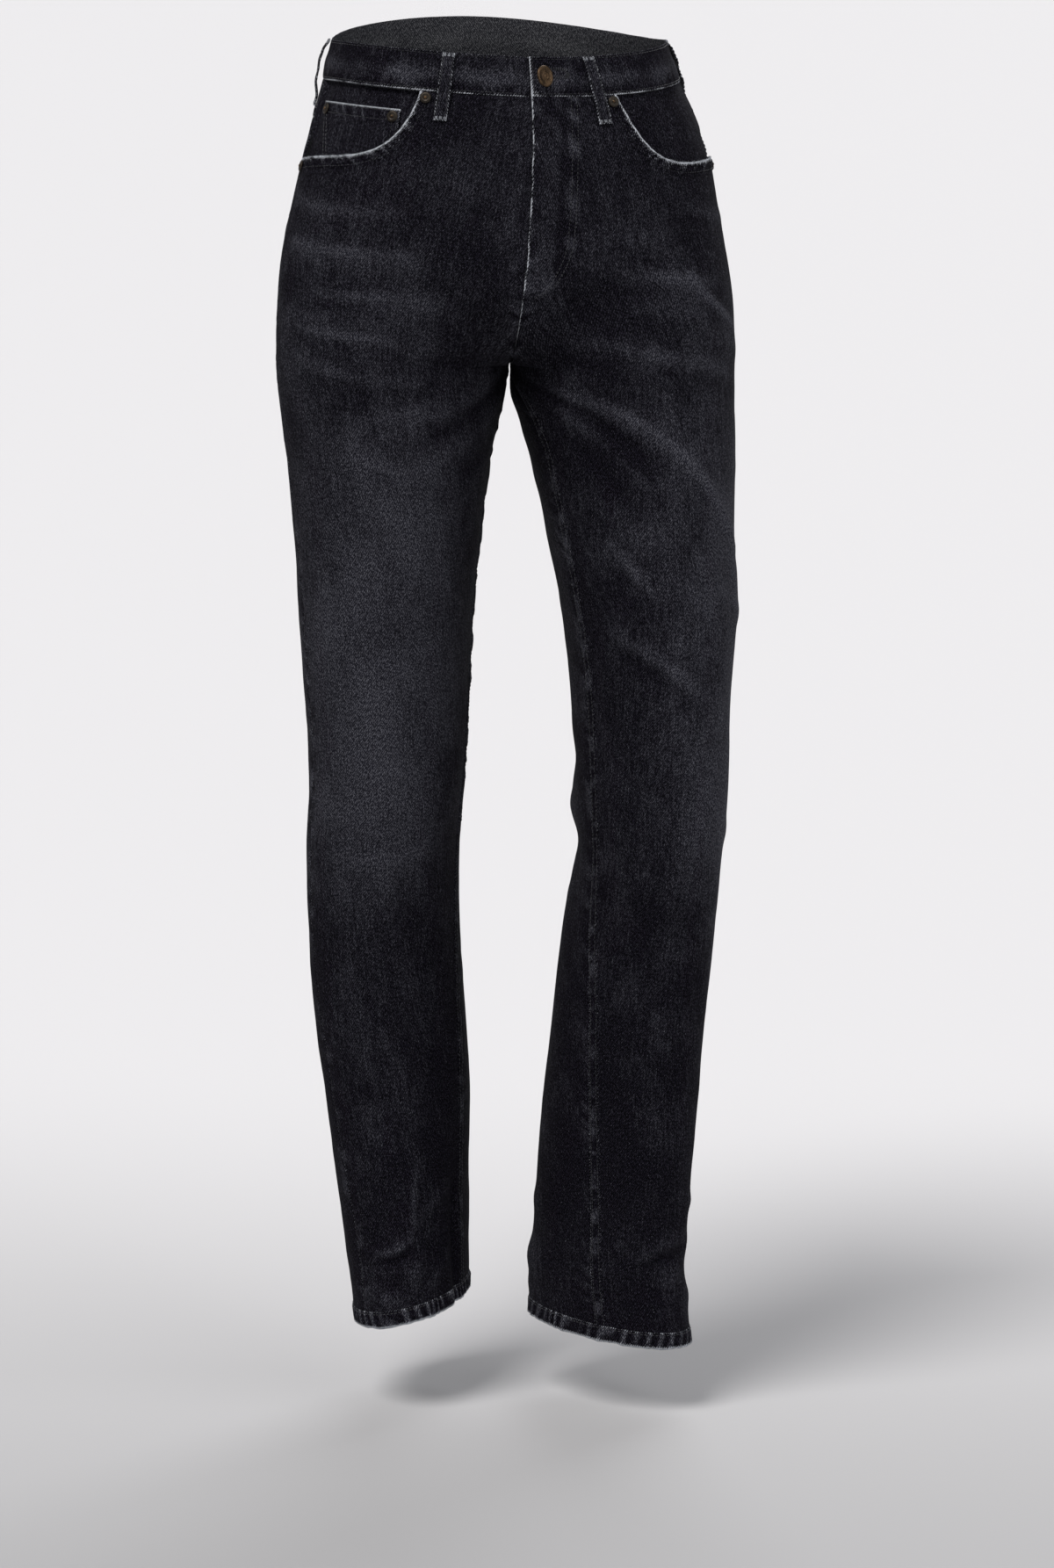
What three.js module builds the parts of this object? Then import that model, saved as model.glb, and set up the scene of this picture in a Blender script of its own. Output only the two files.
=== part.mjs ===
// Straight leg five-pocket jeans in washed black denim, in their worn, filled-out shape and hollow.
// Millimetres. +Z is up, -Y is the front, +X is the wearer's left. The origin is the centre of the waist
// opening, level with the waistband's top edge at the side seams. The waist is turned a little towards +X,
// the wearer's left leg is turned out and bent at the knee, and the right one stands nearly straight.
import * as THREE from "three";

// Driving dimensions of the cloth.
const CLOTH = 1.2; // wall of one denim layer
const SEAM_GAP = 0.36; // between neighbouring pieces, and under what lies on a panel
const LAY_GAP = 0.95; // between a panel and the layer behind it
const BAND_HEIGHT = 31; // waistband
const BAND_OUT = 0.8; // how far the waistband and the hems stand proud of the panels
const BAND_IN = 1.4; // how far they reach inside the panels' outer face
const FRONT_DIP = 12; // waist edge at the centre front, below the side seams
const BACK_RISE = 18; // waist edge at the centre back, above the side seams
const HEM_HEIGHT = 14; // turned-up hem
const CROTCH_DROP = 258; // crotch seam, below the origin
const PELVIS_TURN = 9; // degrees that the waist is turned towards +X
const BOXINESS = 0.04; // how much fuller than an ellipse the hip section is at its corners

// Hip sections, by drop below the origin: half-widths to the wearer's right and left as seen from the front,
// depth forward and back, and how far the centre front line lies off the middle.
const HIPS = [
  { drop: -20, right: 131, left: 131, front: 86, back: 80, fly: 9 },
  { drop: 0, right: 132.5, left: 132.5, front: 88, back: 83, fly: 9 },
  { drop: 31, right: 140, left: 143, front: 94, back: 92, fly: 8.5 },
  { drop: 57, right: 147, left: 156, front: 99, back: 100, fly: 6 },
  { drop: 91, right: 156, left: 168, front: 103, back: 110, fly: 4 },
  { drop: 136, right: 166.5, left: 175, front: 106, back: 121, fly: 3.5 },
  { drop: 192, right: 174.5, left: 181, front: 107, back: 127, fly: -0.5 },
  { drop: 248, right: 178.5, left: 188.5, front: 104, back: 122, fly: -7 },
  { drop: 300, right: 175, left: 190, front: 100, back: 112, fly: -11 },
];

// Leg sections, by drop: inner and outer edge as seen from the front, measured out from the origin, girth,
// depth of the centre (back is positive), how far the outer edge lies behind that centre, and the degrees
// by which the inseam and the side seam have come round to the front.
const LEFT_LEG = [
  { drop: 258, inner: 8, outer: 189, girth: 622, centre: 19, lean: -1, inseam: 0, outseam: -12 },
  { drop: 285, inner: 8.5, outer: 190, girth: 604, centre: 17, lean: -4, inseam: 28, outseam: -14 },
  { drop: 310, inner: 16, outer: 190, girth: 588, centre: 14, lean: -6, inseam: 34, outseam: -16 },
  { drop: 335, inner: 24.5, outer: 190, girth: 573, centre: 11, lean: -8, inseam: 34, outseam: -18 },
  { drop: 400, inner: 38, outer: 189.5, girth: 540, centre: 4, lean: -12, inseam: 35, outseam: -22 },
  { drop: 455, inner: 49.5, outer: 192, girth: 518, centre: -3, lean: -15, inseam: 35, outseam: -26 },
  { drop: 520, inner: 57, outer: 187, girth: 485, centre: -10, lean: -18, inseam: 37, outseam: -30 },
  { drop: 590, inner: 58, outer: 185, girth: 455, centre: -15, lean: -20, inseam: 40, outseam: -34 },
  { drop: 650, inner: 61, outer: 180, girth: 440, centre: -15, lean: -22, inseam: 40, outseam: -38 },
  { drop: 720, inner: 51, outer: 174, girth: 430, centre: -10, lean: -24, inseam: 49, outseam: -43 },
  { drop: 790, inner: 42.5, outer: 165.5, girth: 420, centre: -5, lean: -25, inseam: 59, outseam: -49 },
  { drop: 860, inner: 36, outer: 161.5, girth: 412, centre: 0, lean: -26, inseam: 65, outseam: -54 },
  { drop: 930, inner: 30, outer: 156, girth: 405, centre: 3, lean: -27, inseam: 72, outseam: -59 },
  { drop: 1000, inner: 26, outer: 151, girth: 400, centre: 4, lean: -28, inseam: 77, outseam: -63 },
  { drop: 1060, inner: 25, outer: 156, girth: 400, centre: 5, lean: -28, inseam: 81, outseam: -66 },
];
const RIGHT_LEG = [
  { drop: 258, inner: -8, outer: 178, girth: 620, centre: -6, lean: -26, inseam: 0, outseam: 8 },
  { drop: 285, inner: -3, outer: 176, girth: 600, centre: -7, lean: -22, inseam: 0, outseam: 10 },
  { drop: 310, inner: 2.5, outer: 173, girth: 583, centre: -8, lean: -20, inseam: 0, outseam: 11 },
  { drop: 335, inner: 7.5, outer: 170, girth: 565, centre: -9, lean: -18, inseam: 0, outseam: 12 },
  { drop: 400, inner: 16, outer: 165, girth: 532, centre: -8, lean: -16, inseam: 0, outseam: 18 },
  { drop: 455, inner: 21.5, outer: 163, girth: 510, centre: -8, lean: -15, inseam: 0, outseam: 22 },
  { drop: 520, inner: 24.5, outer: 158.5, girth: 480, centre: -8, lean: -14, inseam: 2, outseam: 23 },
  { drop: 590, inner: 28, outer: 154, girth: 452, centre: -6, lean: -14, inseam: 6, outseam: 21 },
  { drop: 650, inner: 33, outer: 156.5, girth: 438, centre: 0, lean: -14, inseam: 10, outseam: 21 },
  { drop: 720, inner: 33, outer: 156, girth: 428, centre: 6, lean: -15, inseam: 15, outseam: 23 },
  { drop: 790, inner: 28.5, outer: 151.5, girth: 420, centre: 11, lean: -16, inseam: 20, outseam: 27 },
  { drop: 860, inner: 25, outer: 143, girth: 412, centre: 15, lean: -17, inseam: 24, outseam: 31 },
  { drop: 930, inner: 26.5, outer: 134.5, girth: 404, centre: 19, lean: -18, inseam: 24, outseam: 38 },
  { drop: 1000, inner: 27, outer: 126, girth: 398, centre: 22, lean: -19, inseam: 22, outseam: 40 },
  { drop: 1045, inner: 27, outer: 121, girth: 396, centre: 24, lean: -20, inseam: 22, outseam: 38 },
];

// The two halves of the garment. hemInner and hemOuter are the drops of the hem's lower edge. The front
// pocket's mouth starts at mouthStart, in degrees round from the centre front, and drops to mouthDepth below
// the waist seam at the side seam. mouthTurn and mouthCorner say how sharply it turns from upright to level,
// and mouthSlope is the share of its depth that it still falls after the turn.
const LEFT = { name: "left", side: 1, leg: LEFT_LEG, hemInner: 1048, hemOuter: 1060 };
Object.assign(LEFT, { mouthStart: 28.5, mouthTurn: 9.5, mouthCorner: 0.96, mouthSlope: 0.08 });
const RIGHT = { name: "right", side: -1, leg: RIGHT_LEG, hemInner: 1030, hemOuter: 1046 };
Object.assign(RIGHT, { mouthStart: 33, mouthTurn: 8.5, mouthCorner: 0.78, mouthSlope: 0.18 });

// The largest folds. Each runs from one place to another, given as degrees round from the centre front or
// inseam (90 is the side seam) and drop; bow is how far its middle swings down, height is negative for a trough.
LEFT.folds = [
  { from: [48, 180], to: [84, 252], bow: 6, width: 11, height: 2.6 }, // thigh crease below the pocket
  { from: [40, 206], to: [78, 290], bow: 8, width: 12, height: -2.2 },
  { from: [22, 285], to: [72, 420], bow: -28, width: 14, height: 2.8 }, // drag lines from the crotch
  { from: [24, 318], to: [66, 452], bow: -26, width: 13, height: -2.4 },
  { from: [16, 362], to: [60, 500], bow: -22, width: 14, height: 2.2 },
  { from: [56, 976], to: [106, 970], bow: 0, width: 11, height: 3.4 }, // break above the hem
  { from: [60, 1003], to: [104, 996], bow: 0, width: 9, height: -5 },
  { from: [48, 1012], to: [76, 1022], bow: 4, width: 12, height: 2.6 },
  { from: [106, 318], to: [166, 300], bow: 16, width: 15, height: -3.6 }, // below the seat
  { from: [112, 362], to: [162, 350], bow: 14, width: 15, height: 2.8 },
  { from: [112, 540], to: [166, 578], bow: 8, width: 17, height: -5.2 }, // back of the knee
  { from: [110, 600], to: [168, 622], bow: 10, width: 17, height: 4.4 },
  { from: [116, 668], to: [164, 640], bow: 6, width: 16, height: -4.2 },
  { from: [118, 980], to: [162, 1002], bow: 6, width: 13, height: 3.6 }, // break above the heel
];
RIGHT.folds = [
  { from: [34, 176], to: [80, 166], bow: 6, width: 10, height: 1.6 }, // hip whiskers
  { from: [30, 205], to: [80, 214], bow: 5, width: 10, height: 1.6 },
  { from: [16, 300], to: [58, 262], bow: 8, width: 12, height: -2 },
  { from: [40, 985], to: [52, 1000], bow: 6, width: 9, height: 2.6 }, // crease over the instep
  { from: [50, 1004], to: [70, 1008], bow: 0, width: 9, height: -2.4 },
  { from: [12, 935], to: [11, 1022], bow: -3, width: 9, height: -4.5 }, // trough beside the inseam
  { from: [108, 322], to: [164, 306], bow: 16, width: 15, height: -3.2 }, // below the seat
  { from: [112, 372], to: [162, 352], bow: 12, width: 15, height: 2.6 },
  { from: [112, 560], to: [166, 590], bow: 8, width: 16, height: -4.6 }, // back of the knee
  { from: [114, 612], to: [166, 640], bow: 8, width: 16, height: 3.8 },
  { from: [116, 676], to: [162, 660], bow: 6, width: 16, height: -3.4 },
  { from: [116, 984], to: [160, 1000], bow: 6, width: 13, height: 3.4 }, // break above the heel
];

// Where the sewn lines lie, in the pattern's own measures.
const YOKE_SIDE = 30; // depth of the back yoke at the side seam
const YOKE_CENTRE = 60; // and at the centre back
const POCKET_DEPTH = 62; // drop of the front pocket's mouth below the waist seam, at the side seam
const FLY_WIDTH = 40;
const FLY_DROP = 160; // fly below the waist seam, before it curves in
const STRAIGHT_RISE = 0.48; // share of the rise that is upright, before the crotch curve

const RAD = Math.PI / 180;
const SIDE_SEAM = Math.PI / 2;
const mix = (a, b, k) => a + (b - a) * k;
const clamp = (x, low, high) => Math.min(high, Math.max(low, x));
const smooth = (x) => clamp(x, 0, 1) ** 2 * (3 - 2 * clamp(x, 0, 1));

// Every column of a table at a drop, on a smooth curve through its rows.
function sectionAt(table, drop) {
  const last = table.length - 1;
  const at = clamp(table.findIndex((row) => row.drop > drop) - 1, 0, last - 1);
  const i = drop >= table[last].drop ? last - 1 : at;
  const [a, b] = [table[i], table[i + 1]];
  const [before, after] = [table[Math.max(i - 1, 0)], table[Math.min(i + 2, last)]];
  const span = b.drop - a.drop;
  const k = (drop - a.drop) / span;
  const section = {};
  for (const key of Object.keys(a)) {
    const into = ((b[key] - before[key]) / (b.drop - before.drop)) * span;
    const out = ((after[key] - a[key]) / (after.drop - a.drop)) * span;
    const cubic = (2 * k ** 3 - 3 * k ** 2 + 1) * a[key] + (k ** 3 - 2 * k ** 2 + k) * into;
    section[key] = cubic + (3 * k ** 2 - 2 * k ** 3) * b[key] + (k ** 3 - k ** 2) * out;
  }
  return section;
}

// Drop of the waistband's top edge, round from the centre front (0) to the centre back (pi).
function waistDrop(half, angle) {
  const level = Math.cos(half.side * angle - PELVIS_TURN * RAD);
  return level * Math.abs(level) * (level > 0 ? FRONT_DIP : BACK_RISE);
}

// The hip section: an oval turned with the pelvis, with the centre front line a little off its middle.
function hipPoint(half, angle, drop) {
  const s = sectionAt(HIPS, drop);
  const turn = PELVIS_TURN * RAD;
  const depth = angle < SIDE_SEAM ? s.front : s.back;
  const seenWidth = (s.right + s.left) / 2;
  const width = Math.sqrt(seenWidth ** 2 - (depth * Math.sin(turn)) ** 2) / Math.cos(turn);
  const full = 1 + BOXINESS * Math.sin(2 * angle) ** 2;
  const x = half.side * width * Math.sin(angle) * full;
  const y = -depth * Math.cos(angle) * full;
  const shift = angle < SIDE_SEAM ? s.fly * Math.cos(angle) ** 4 : 0;
  return [
    (s.left - s.right) / 2 + shift + x * Math.cos(turn) - y * Math.sin(turn),
    y * Math.cos(turn) + x * Math.sin(turn),
  ];
}

// The leg section: a sheared oval that runs from the inseam (0) past the side seam (pi / 2) and back.
function legPoint(half, angle, drop) {
  const s = sectionAt(half.leg, drop);
  const width = (s.outer - s.inner) / 2;
  const depth = Math.sqrt(s.girth ** 2 / (2 * Math.PI ** 2) - width ** 2);
  const reach = Math.sqrt(depth ** 2 - s.lean ** 2);
  const start = s.inseam * RAD;
  const seam = Math.PI - s.outseam * RAD;
  const k = angle / SIDE_SEAM;
  const round = k < 1 ? mix(start, seam, k) : mix(seam, start + 2 * Math.PI, k - 1);
  return [
    half.side * ((s.outer + s.inner) / 2 - width * Math.cos(round)),
    s.centre - s.lean * Math.cos(round) - reach * Math.sin(round),
  ];
}

// Centre front and centre back edges of a panel between the waist seam (0) and the crotch (1):
// drop, and share of the way from the hip section to the leg section.
function riseEdge(isFront, t) {
  const top = BAND_HEIGHT + waistDrop(LEFT, isFront ? 0 : Math.PI);
  const bend = isFront ? 190 : 172;
  if (t < STRAIGHT_RISE) return { drop: mix(top, bend, t / STRAIGHT_RISE), leg: 0 };
  const turn = ((t - STRAIGHT_RISE) / (1 - STRAIGHT_RISE)) * (Math.PI / 2);
  return { drop: mix(bend, CROTCH_DROP, Math.sin(turn)), leg: 1 - Math.cos(turn) };
}

// Drop of the hem's lower edge at an angle round the leg.
function hemDrop(half, angle) {
  const x = half.side * legPoint(half, angle, half.hemOuter)[0];
  const { inner, outer } = sectionAt(half.leg, half.hemOuter);
  return mix(half.hemInner, half.hemOuter, clamp((x - inner) / (outer - inner), 0, 1));
}

const SIDE_CROTCH_DROP = 252;
const NARROWING = 0.4; // share of the rise at which the sides begin to turn from hip to leg
const DRAW_START = 0.3; // shares of the rise between which the pattern's lines draw in to the centre
const DRAW_END = 0.85;

// Where a place on the pattern lies: t is 0 at the waist seam, 1 level with the crotch and 2 at the hem.
function place(half, angle, t) {
  const toEdge = Math.cos(angle) ** 2;
  if (t <= 1) {
    const edge = riseEdge(angle < SIDE_SEAM, Math.max(t, 0));
    const sideDrop = mix(BAND_HEIGHT, SIDE_CROTCH_DROP, t);
    const above = t < 0 ? t * 250 : 0;
    const sideLeg = smooth((t - NARROWING) / (1 - NARROWING));
    const centreWaist = riseEdge(angle < SIDE_SEAM, 0).drop - BAND_HEIGHT;
    const uneven = (waistDrop(half, angle) - centreWaist * toEdge) * (1 - clamp(t, 0, 1));
    const drop = (t < 0 ? BAND_HEIGHT : sideDrop) * (1 - toEdge) + edge.drop * toEdge + above;
    return { drop: drop + uneven, leg: mix(sideLeg, edge.leg, toEdge ** 5) };
  }
  const start = mix(SIDE_CROTCH_DROP, CROTCH_DROP, toEdge);
  return { drop: mix(start, hemDrop(half, angle) - HEM_HEIGHT, t - 1), leg: 1 };
}

const DEGREE_MM = 2.7; // cloth in one degree round a half

// Height of the folds at a place.
function relief(half, angle, drop) {
  let height = 0;
  for (const fold of half.folds) {
    const ends = [fold.from, fold.to].map(([degrees, d]) => [degrees * DEGREE_MM, d]);
    const [ax, ay] = ends[0];
    const [dx, dy] = [ends[1][0] - ax, ends[1][1] - ay];
    const [px, py] = [(angle / RAD) * DEGREE_MM - ax, drop - ay];
    const along = clamp((px * dx + py * dy) / (dx * dx + dy * dy), 0, 1);
    const bow = fold.bow * 4 * along * (1 - along);
    const off = Math.hypot(px - dx * along, py - dy * along - bow);
    const fade = 0.45 + 0.55 * Math.sin(Math.PI * along);
    height += fold.height * fade * Math.exp(-((off / fold.width) ** 2));
  }
  return height;
}

// A point at a drop, on the panels' outer face.
function facePoint(half, angle, drop, leg, around = angle) {
  const hip = leg < 1 ? hipPoint(half, around, drop) : [0, 0];
  const thigh = leg > 0 ? legPoint(half, angle, Math.max(drop, CROTCH_DROP)) : [0, 0];
  return new THREE.Vector3(mix(hip[0], thigh[0], leg), mix(hip[1], thigh[1], leg), -drop);
}

// The pattern's lines run straight down over the hips, then draw in to the centre to enter the leg: the angle
// round the hips at which the line that starts at an angle of the waist lies.
function hipAngle(angle, t) {
  const fromCentre = angle < SIDE_SEAM ? angle : Math.PI - angle;
  const drawn = Math.asin(Math.sin(fromCentre) ** 2);
  const lies = mix(fromCentre, drawn, smooth((t - DRAW_START) / (DRAW_END - DRAW_START)));
  return angle < SIDE_SEAM ? lies : Math.PI - lies;
}

// The other way: the pattern's line that lies at an angle round the hips, found by halving the range.
function lineAt(around, t) {
  let [low, high] = around < SIDE_SEAM ? [0, SIDE_SEAM] : [SIDE_SEAM, Math.PI];
  for (let n = 0; n < 30; n++) {
    const middle = (low + high) / 2;
    if (hipAngle(middle, t) < around) low = middle;
    else high = middle;
  }
  return (low + high) / 2;
}

function barePoint(half, angle, t) {
  const { drop, leg } = place(half, angle, t);
  return facePoint(half, angle, drop, leg, hipAngle(angle, t));
}

// The outward direction at a place, on one half's own side of its seams.
function sideNormal(half, angle, t) {
  const step = 0.004;
  const onHips = t < STRAIGHT_RISE; // the hips run on past the centre lines, where the legs end
  const low = onHips ? angle - step : Math.max(angle - step, 0);
  const high = onHips ? angle + step : Math.min(angle + step, Math.PI);
  const across = barePoint(half, high, t).sub(barePoint(half, low, t));
  const down = barePoint(half, angle, t + step).sub(barePoint(half, angle, t - step));
  return down.cross(across).multiplyScalar(half.side).normalize();
}

// The outward direction at a place. Panels that meet at the rise or the inseam share it.
function outward(half, angle, t) {
  const normal = sideNormal(half, angle, t);
  if (angle > 0 && angle < Math.PI) return normal;
  if (t <= 1) normal.add(sideNormal(half === LEFT ? RIGHT : LEFT, angle, t));
  if (t >= 1) normal.add(sideNormal(half, Math.PI - angle, t));
  return normal.normalize();
}

// A point of the garment, moved out from the panels' outer face.
function clothPoint(half, angle, t, out) {
  const { drop } = place(half, angle, t);
  return barePoint(half, angle, t).addScaledVector(outward(half, angle, t), out + relief(half, angle, drop));
}

// How far down the pattern a drop below the waist seam is, on the upright part of the rise.
function patternDrop(angle, millimetres) {
  const edge = riseEdge(angle < SIDE_SEAM, STRAIGHT_RISE).drop - riseEdge(angle < SIDE_SEAM, 0).drop;
  const sideRate = SIDE_CROTCH_DROP - BAND_HEIGHT;
  return millimetres / mix(sideRate, edge / STRAIGHT_RISE, Math.cos(angle) ** 2);
}

// A closed wall over a grid of places. at(row, column) gives a place's point for a distance out; each open
// border is drawn in by half the seam gap. ring joins the last column to the first.
function wall(rows, columns, at, outer, inner, ring = false) {
  const sheet = (out) =>
    Array.from({ length: rows + 1 }, (_, i) =>
      Array.from({ length: ring ? columns : columns + 1 }, (_, j) => at(i, j, out)),
    );
  const layers = [sheet(outer), sheet(inner)].map((grid) => drawnIn(grid, ring));
  const wide = layers[0][0].length;
  const points = layers.flat(2);
  const index = (layer, i, j) => layer * (rows + 1) * wide + i * wide + (j % wide);
  const triangles = [];
  const quad = (a, b, c, d) => triangles.push(a, b, c, a, c, d);
  for (let i = 0; i < rows; i++) {
    for (let j = 0; j < columns; j++) {
      quad(index(0, i, j), index(0, i + 1, j), index(0, i + 1, j + 1), index(0, i, j + 1));
      quad(index(1, i, j), index(1, i, j + 1), index(1, i + 1, j + 1), index(1, i + 1, j));
    }
  }
  for (let j = 0; j < columns; j++) {
    quad(index(0, 0, j), index(0, 0, j + 1), index(1, 0, j + 1), index(1, 0, j));
    quad(index(0, rows, j + 1), index(0, rows, j), index(1, rows, j), index(1, rows, j + 1));
  }
  for (let i = 0; i < rows && !ring; i++) {
    quad(index(0, i + 1, 0), index(0, i, 0), index(1, i, 0), index(1, i + 1, 0));
    quad(index(0, i, columns), index(0, i + 1, columns), index(1, i + 1, columns), index(1, i, columns));
  }
  return facingOut(points, triangles);
}

// The grid with its open borders moved in, square to themselves, by half the seam gap.
function drawnIn(grid, ring) {
  const [rows, columns] = [grid.length - 1, grid[0].length - 1];
  const pick = (i, j) => grid[clamp(i, 0, rows)][ring ? (j + columns + 1) % (columns + 1) : clamp(j, 0, columns)];
  const squareIn = (point, inner, before, after) => {
    const border = after.clone().sub(before);
    const way = inner.clone().sub(point);
    return way.addScaledVector(border, -way.dot(border) / border.lengthSq()).setLength(SEAM_GAP / 2);
  };
  return grid.map((row, i) =>
    row.map((point, j) => {
      const moved = point.clone();
      const [left, right, above, below] = [pick(i, j - 1), pick(i, j + 1), pick(i - 1, j), pick(i + 1, j)];
      if (i === 0) moved.add(squareIn(point, below, left, right));
      if (i === rows) moved.add(squareIn(point, above, left, right));
      if (j === 0 && !ring) moved.add(squareIn(point, right, above, below));
      if (j === columns && !ring) moved.add(squareIn(point, left, above, below));
      return moved;
    }),
  );
}

// A geometry from points and triangles, with its faces pointing out.
function facingOut(points, triangles) {
  let volume = 0;
  for (let k = 0; k < triangles.length; k += 3) {
    const [a, b, c] = triangles.slice(k, k + 3).map((n) => points[n]);
    volume += a.dot(b.clone().cross(c));
  }
  const geometry = new THREE.BufferGeometry().setFromPoints(points);
  geometry.setIndex(volume < 0 ? triangles.reverse() : triangles);
  geometry.computeVertexNormals();
  return geometry;
}

const denim = (shade) => new THREE.MeshStandardMaterial({ color: shade, roughness: 0.95, metalness: 0 });
const DENIM = 0x1d1e24;
const DENIM_EDGE = 0x26272d;
const BRASS = new THREE.MeshStandardMaterial({ color: 0x5a4630, roughness: 0.45, metalness: 0.9 });

const jeans = new THREE.Group();
jeans.name = "jeans";

function add(name, geometry, material) {
  const mesh = new THREE.Mesh(geometry, material);
  mesh.name = name;
  jeans.add(mesh);
}

// Rows shared by the front and back panels, so that their seams meet point for point.
const RISE_ROWS = 9;
const LEG_ROWS = 28;
const POCKET_ROWS = 10;
const pocketEnd = patternDrop(SIDE_SEAM, POCKET_DEPTH);
const sharedRow = (i) => {
  if (i <= RISE_ROWS) return mix(pocketEnd, 1, i / RISE_ROWS);
  const k = (i - RISE_ROWS) / LEG_ROWS; // closer together below the crotch, at the knee and above the hem
  return 1 + k - 0.04 * Math.sin(2 * Math.PI * k) - 0.024 * Math.sin(4 * Math.PI * k);
};

// The pocket mouth, from the waist seam (0) to the side seam (1).
function pocketMouth(half, share) {
  const across = share ** 1.6; // closer together where the mouth turns
  const angle = mix(half.mouthStart * RAD, SIDE_SEAM, across);
  const turned = (1 - (1 - across) ** half.mouthTurn) ** half.mouthCorner;
  return { angle, t: patternDrop(angle, POCKET_DEPTH * mix(turned, across, half.mouthSlope)) };
}

// A front panel: from the centre front and inseam to the pocket mouth, and below it to the side seam.
function frontPanel(half) {
  const columns = 14;
  const at = (i, j, out) => {
    const c = j / columns;
    if (i >= POCKET_ROWS) {
      const centre = sharedRow(i - POCKET_ROWS);
      return clothPoint(half, c * SIDE_SEAM, centre, out);
    }
    const mouth = pocketMouth(half, i / POCKET_ROWS);
    const t = mix((pocketEnd * i) / POCKET_ROWS, mouth.t, c ** 1.5);
    return clothPoint(half, c * mouth.angle, t, out);
  };
  return wall(POCKET_ROWS + RISE_ROWS + LEG_ROWS, columns, at, 0, -CLOTH);
}

// Pattern place of the seam between yoke and back panel.
function yokeSeam(angle) {
  return patternDrop(angle, mix(YOKE_SIDE, YOKE_CENTRE, Math.cos(angle) ** 2));
}

// A back panel, from the yoke seam to the hem.
function backPanel(half) {
  const columns = 13;
  const topRows = 2;
  const at = (i, j, out) => {
    const angle = mix(SIDE_SEAM, Math.PI, j / columns);
    const t = i < topRows ? mix(yokeSeam(angle), pocketEnd, i / topRows) : sharedRow(i - topRows);
    return clothPoint(half, angle, t, out);
  };
  return wall(topRows + RISE_ROWS + LEG_ROWS, columns, at, 0, -CLOTH);
}

function yoke(half) {
  const [rows, columns] = [2, 13];
  const at = (i, j, out) => {
    const angle = mix(SIDE_SEAM, Math.PI, j / columns);
    return clothPoint(half, angle, (yokeSeam(angle) * i) / rows, out);
  };
  return wall(rows, columns, at, 0, -CLOTH);
}

// The cloth seen in a front pocket's mouth. It reaches a little way under the front panel.
const FACING_TUCK = 12;
function pocketFacing(half, depthIn) {
  const [rows, columns] = [5, 12];
  const start = (half.mouthStart - FACING_TUCK / DEGREE_MM) * RAD;
  const at = (i, j, out) => {
    const angle = mix(start, SIDE_SEAM, j / columns);
    return clothPoint(half, angle, (patternDrop(angle, POCKET_DEPTH + FACING_TUCK) * i) / rows, out);
  };
  return wall(rows, columns, at, -depthIn, -depthIn - CLOTH);
}

// The small coin pocket on the wearer's right facing.
const COIN = { fromAngle: 38.5, toAngle: 80, footAngle: 66, topDrop: 15.5, bottomDrop: 70 };
const COIN_CLOTH = 1;
function coinPocket(half) {
  const [rows, columns] = [5, 6];
  const at = (i, j, out) => {
    const sideEdge = mix(COIN.toAngle, COIN.footAngle, i / rows);
    const angle = mix(COIN.fromAngle, sideEdge, j / columns) * RAD;
    return clothPoint(half, angle, patternDrop(angle, mix(COIN.topDrop, COIN.bottomDrop, i / rows)), out);
  };
  return wall(rows, columns, at, -CLOTH - LAY_GAP, -CLOTH - LAY_GAP - COIN_CLOTH);
}

// The fly's top layer, whose free edge lies along the centre front and whose foot curves in to it.
function flyFlap(half) {
  const [rows, columns] = [12, 5];
  const top = riseEdge(true, 0).drop;
  const rate = (riseEdge(true, STRAIGHT_RISE).drop - top) / STRAIGHT_RISE;
  const at = (i, j, out) => {
    const down = (FLY_DROP * i) / rows;
    const curve = Math.sqrt(1 - Math.max(0, (down - FLY_DROP * 0.68) / (FLY_DROP * 0.32)) ** 2);
    const width = mix(4, FLY_WIDTH, curve) / hipSpeed(down + top);
    const t = patternCentre(down, rate, top);
    return clothPoint(half, lineAt((width * j) / columns, t), t, out);
  };
  return wall(rows, columns, at, LAY_GAP + CLOTH, LAY_GAP);
}

// Millimetres of cloth for each radian round the front of the hips.
function hipSpeed(drop) {
  const s = sectionAt(HIPS, drop);
  return (s.left + s.right) / 2;
}

// Pattern place of a drop at the centre front, where the rise begins to curve too.
function patternCentre(down, rate, top) {
  const straight = down / rate;
  if (straight <= STRAIGHT_RISE) return straight;
  const bend = riseEdge(true, STRAIGHT_RISE).drop;
  const turn = Math.asin(clamp((down + top - bend) / (CROTCH_DROP - bend), 0, 1));
  return mix(STRAIGHT_RISE, 1, turn / (Math.PI / 2));
}

// A point of the waistband: share is 0 at its top edge and 1 at the waist seam.
function bandPoint(half, angle, share, out) {
  const drop = waistDrop(half, angle) + BAND_HEIGHT * share;
  const step = 0.004;
  const at = (a, d) => facePoint(half, a, d, 0);
  const across = at(angle + step, drop).sub(at(angle - step, drop));
  const down = at(angle, drop + 1).sub(at(angle, drop - 1));
  const normal = down.cross(across).multiplyScalar(half.side).normalize();
  return at(angle, drop).addScaledVector(normal, out);
}

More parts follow.
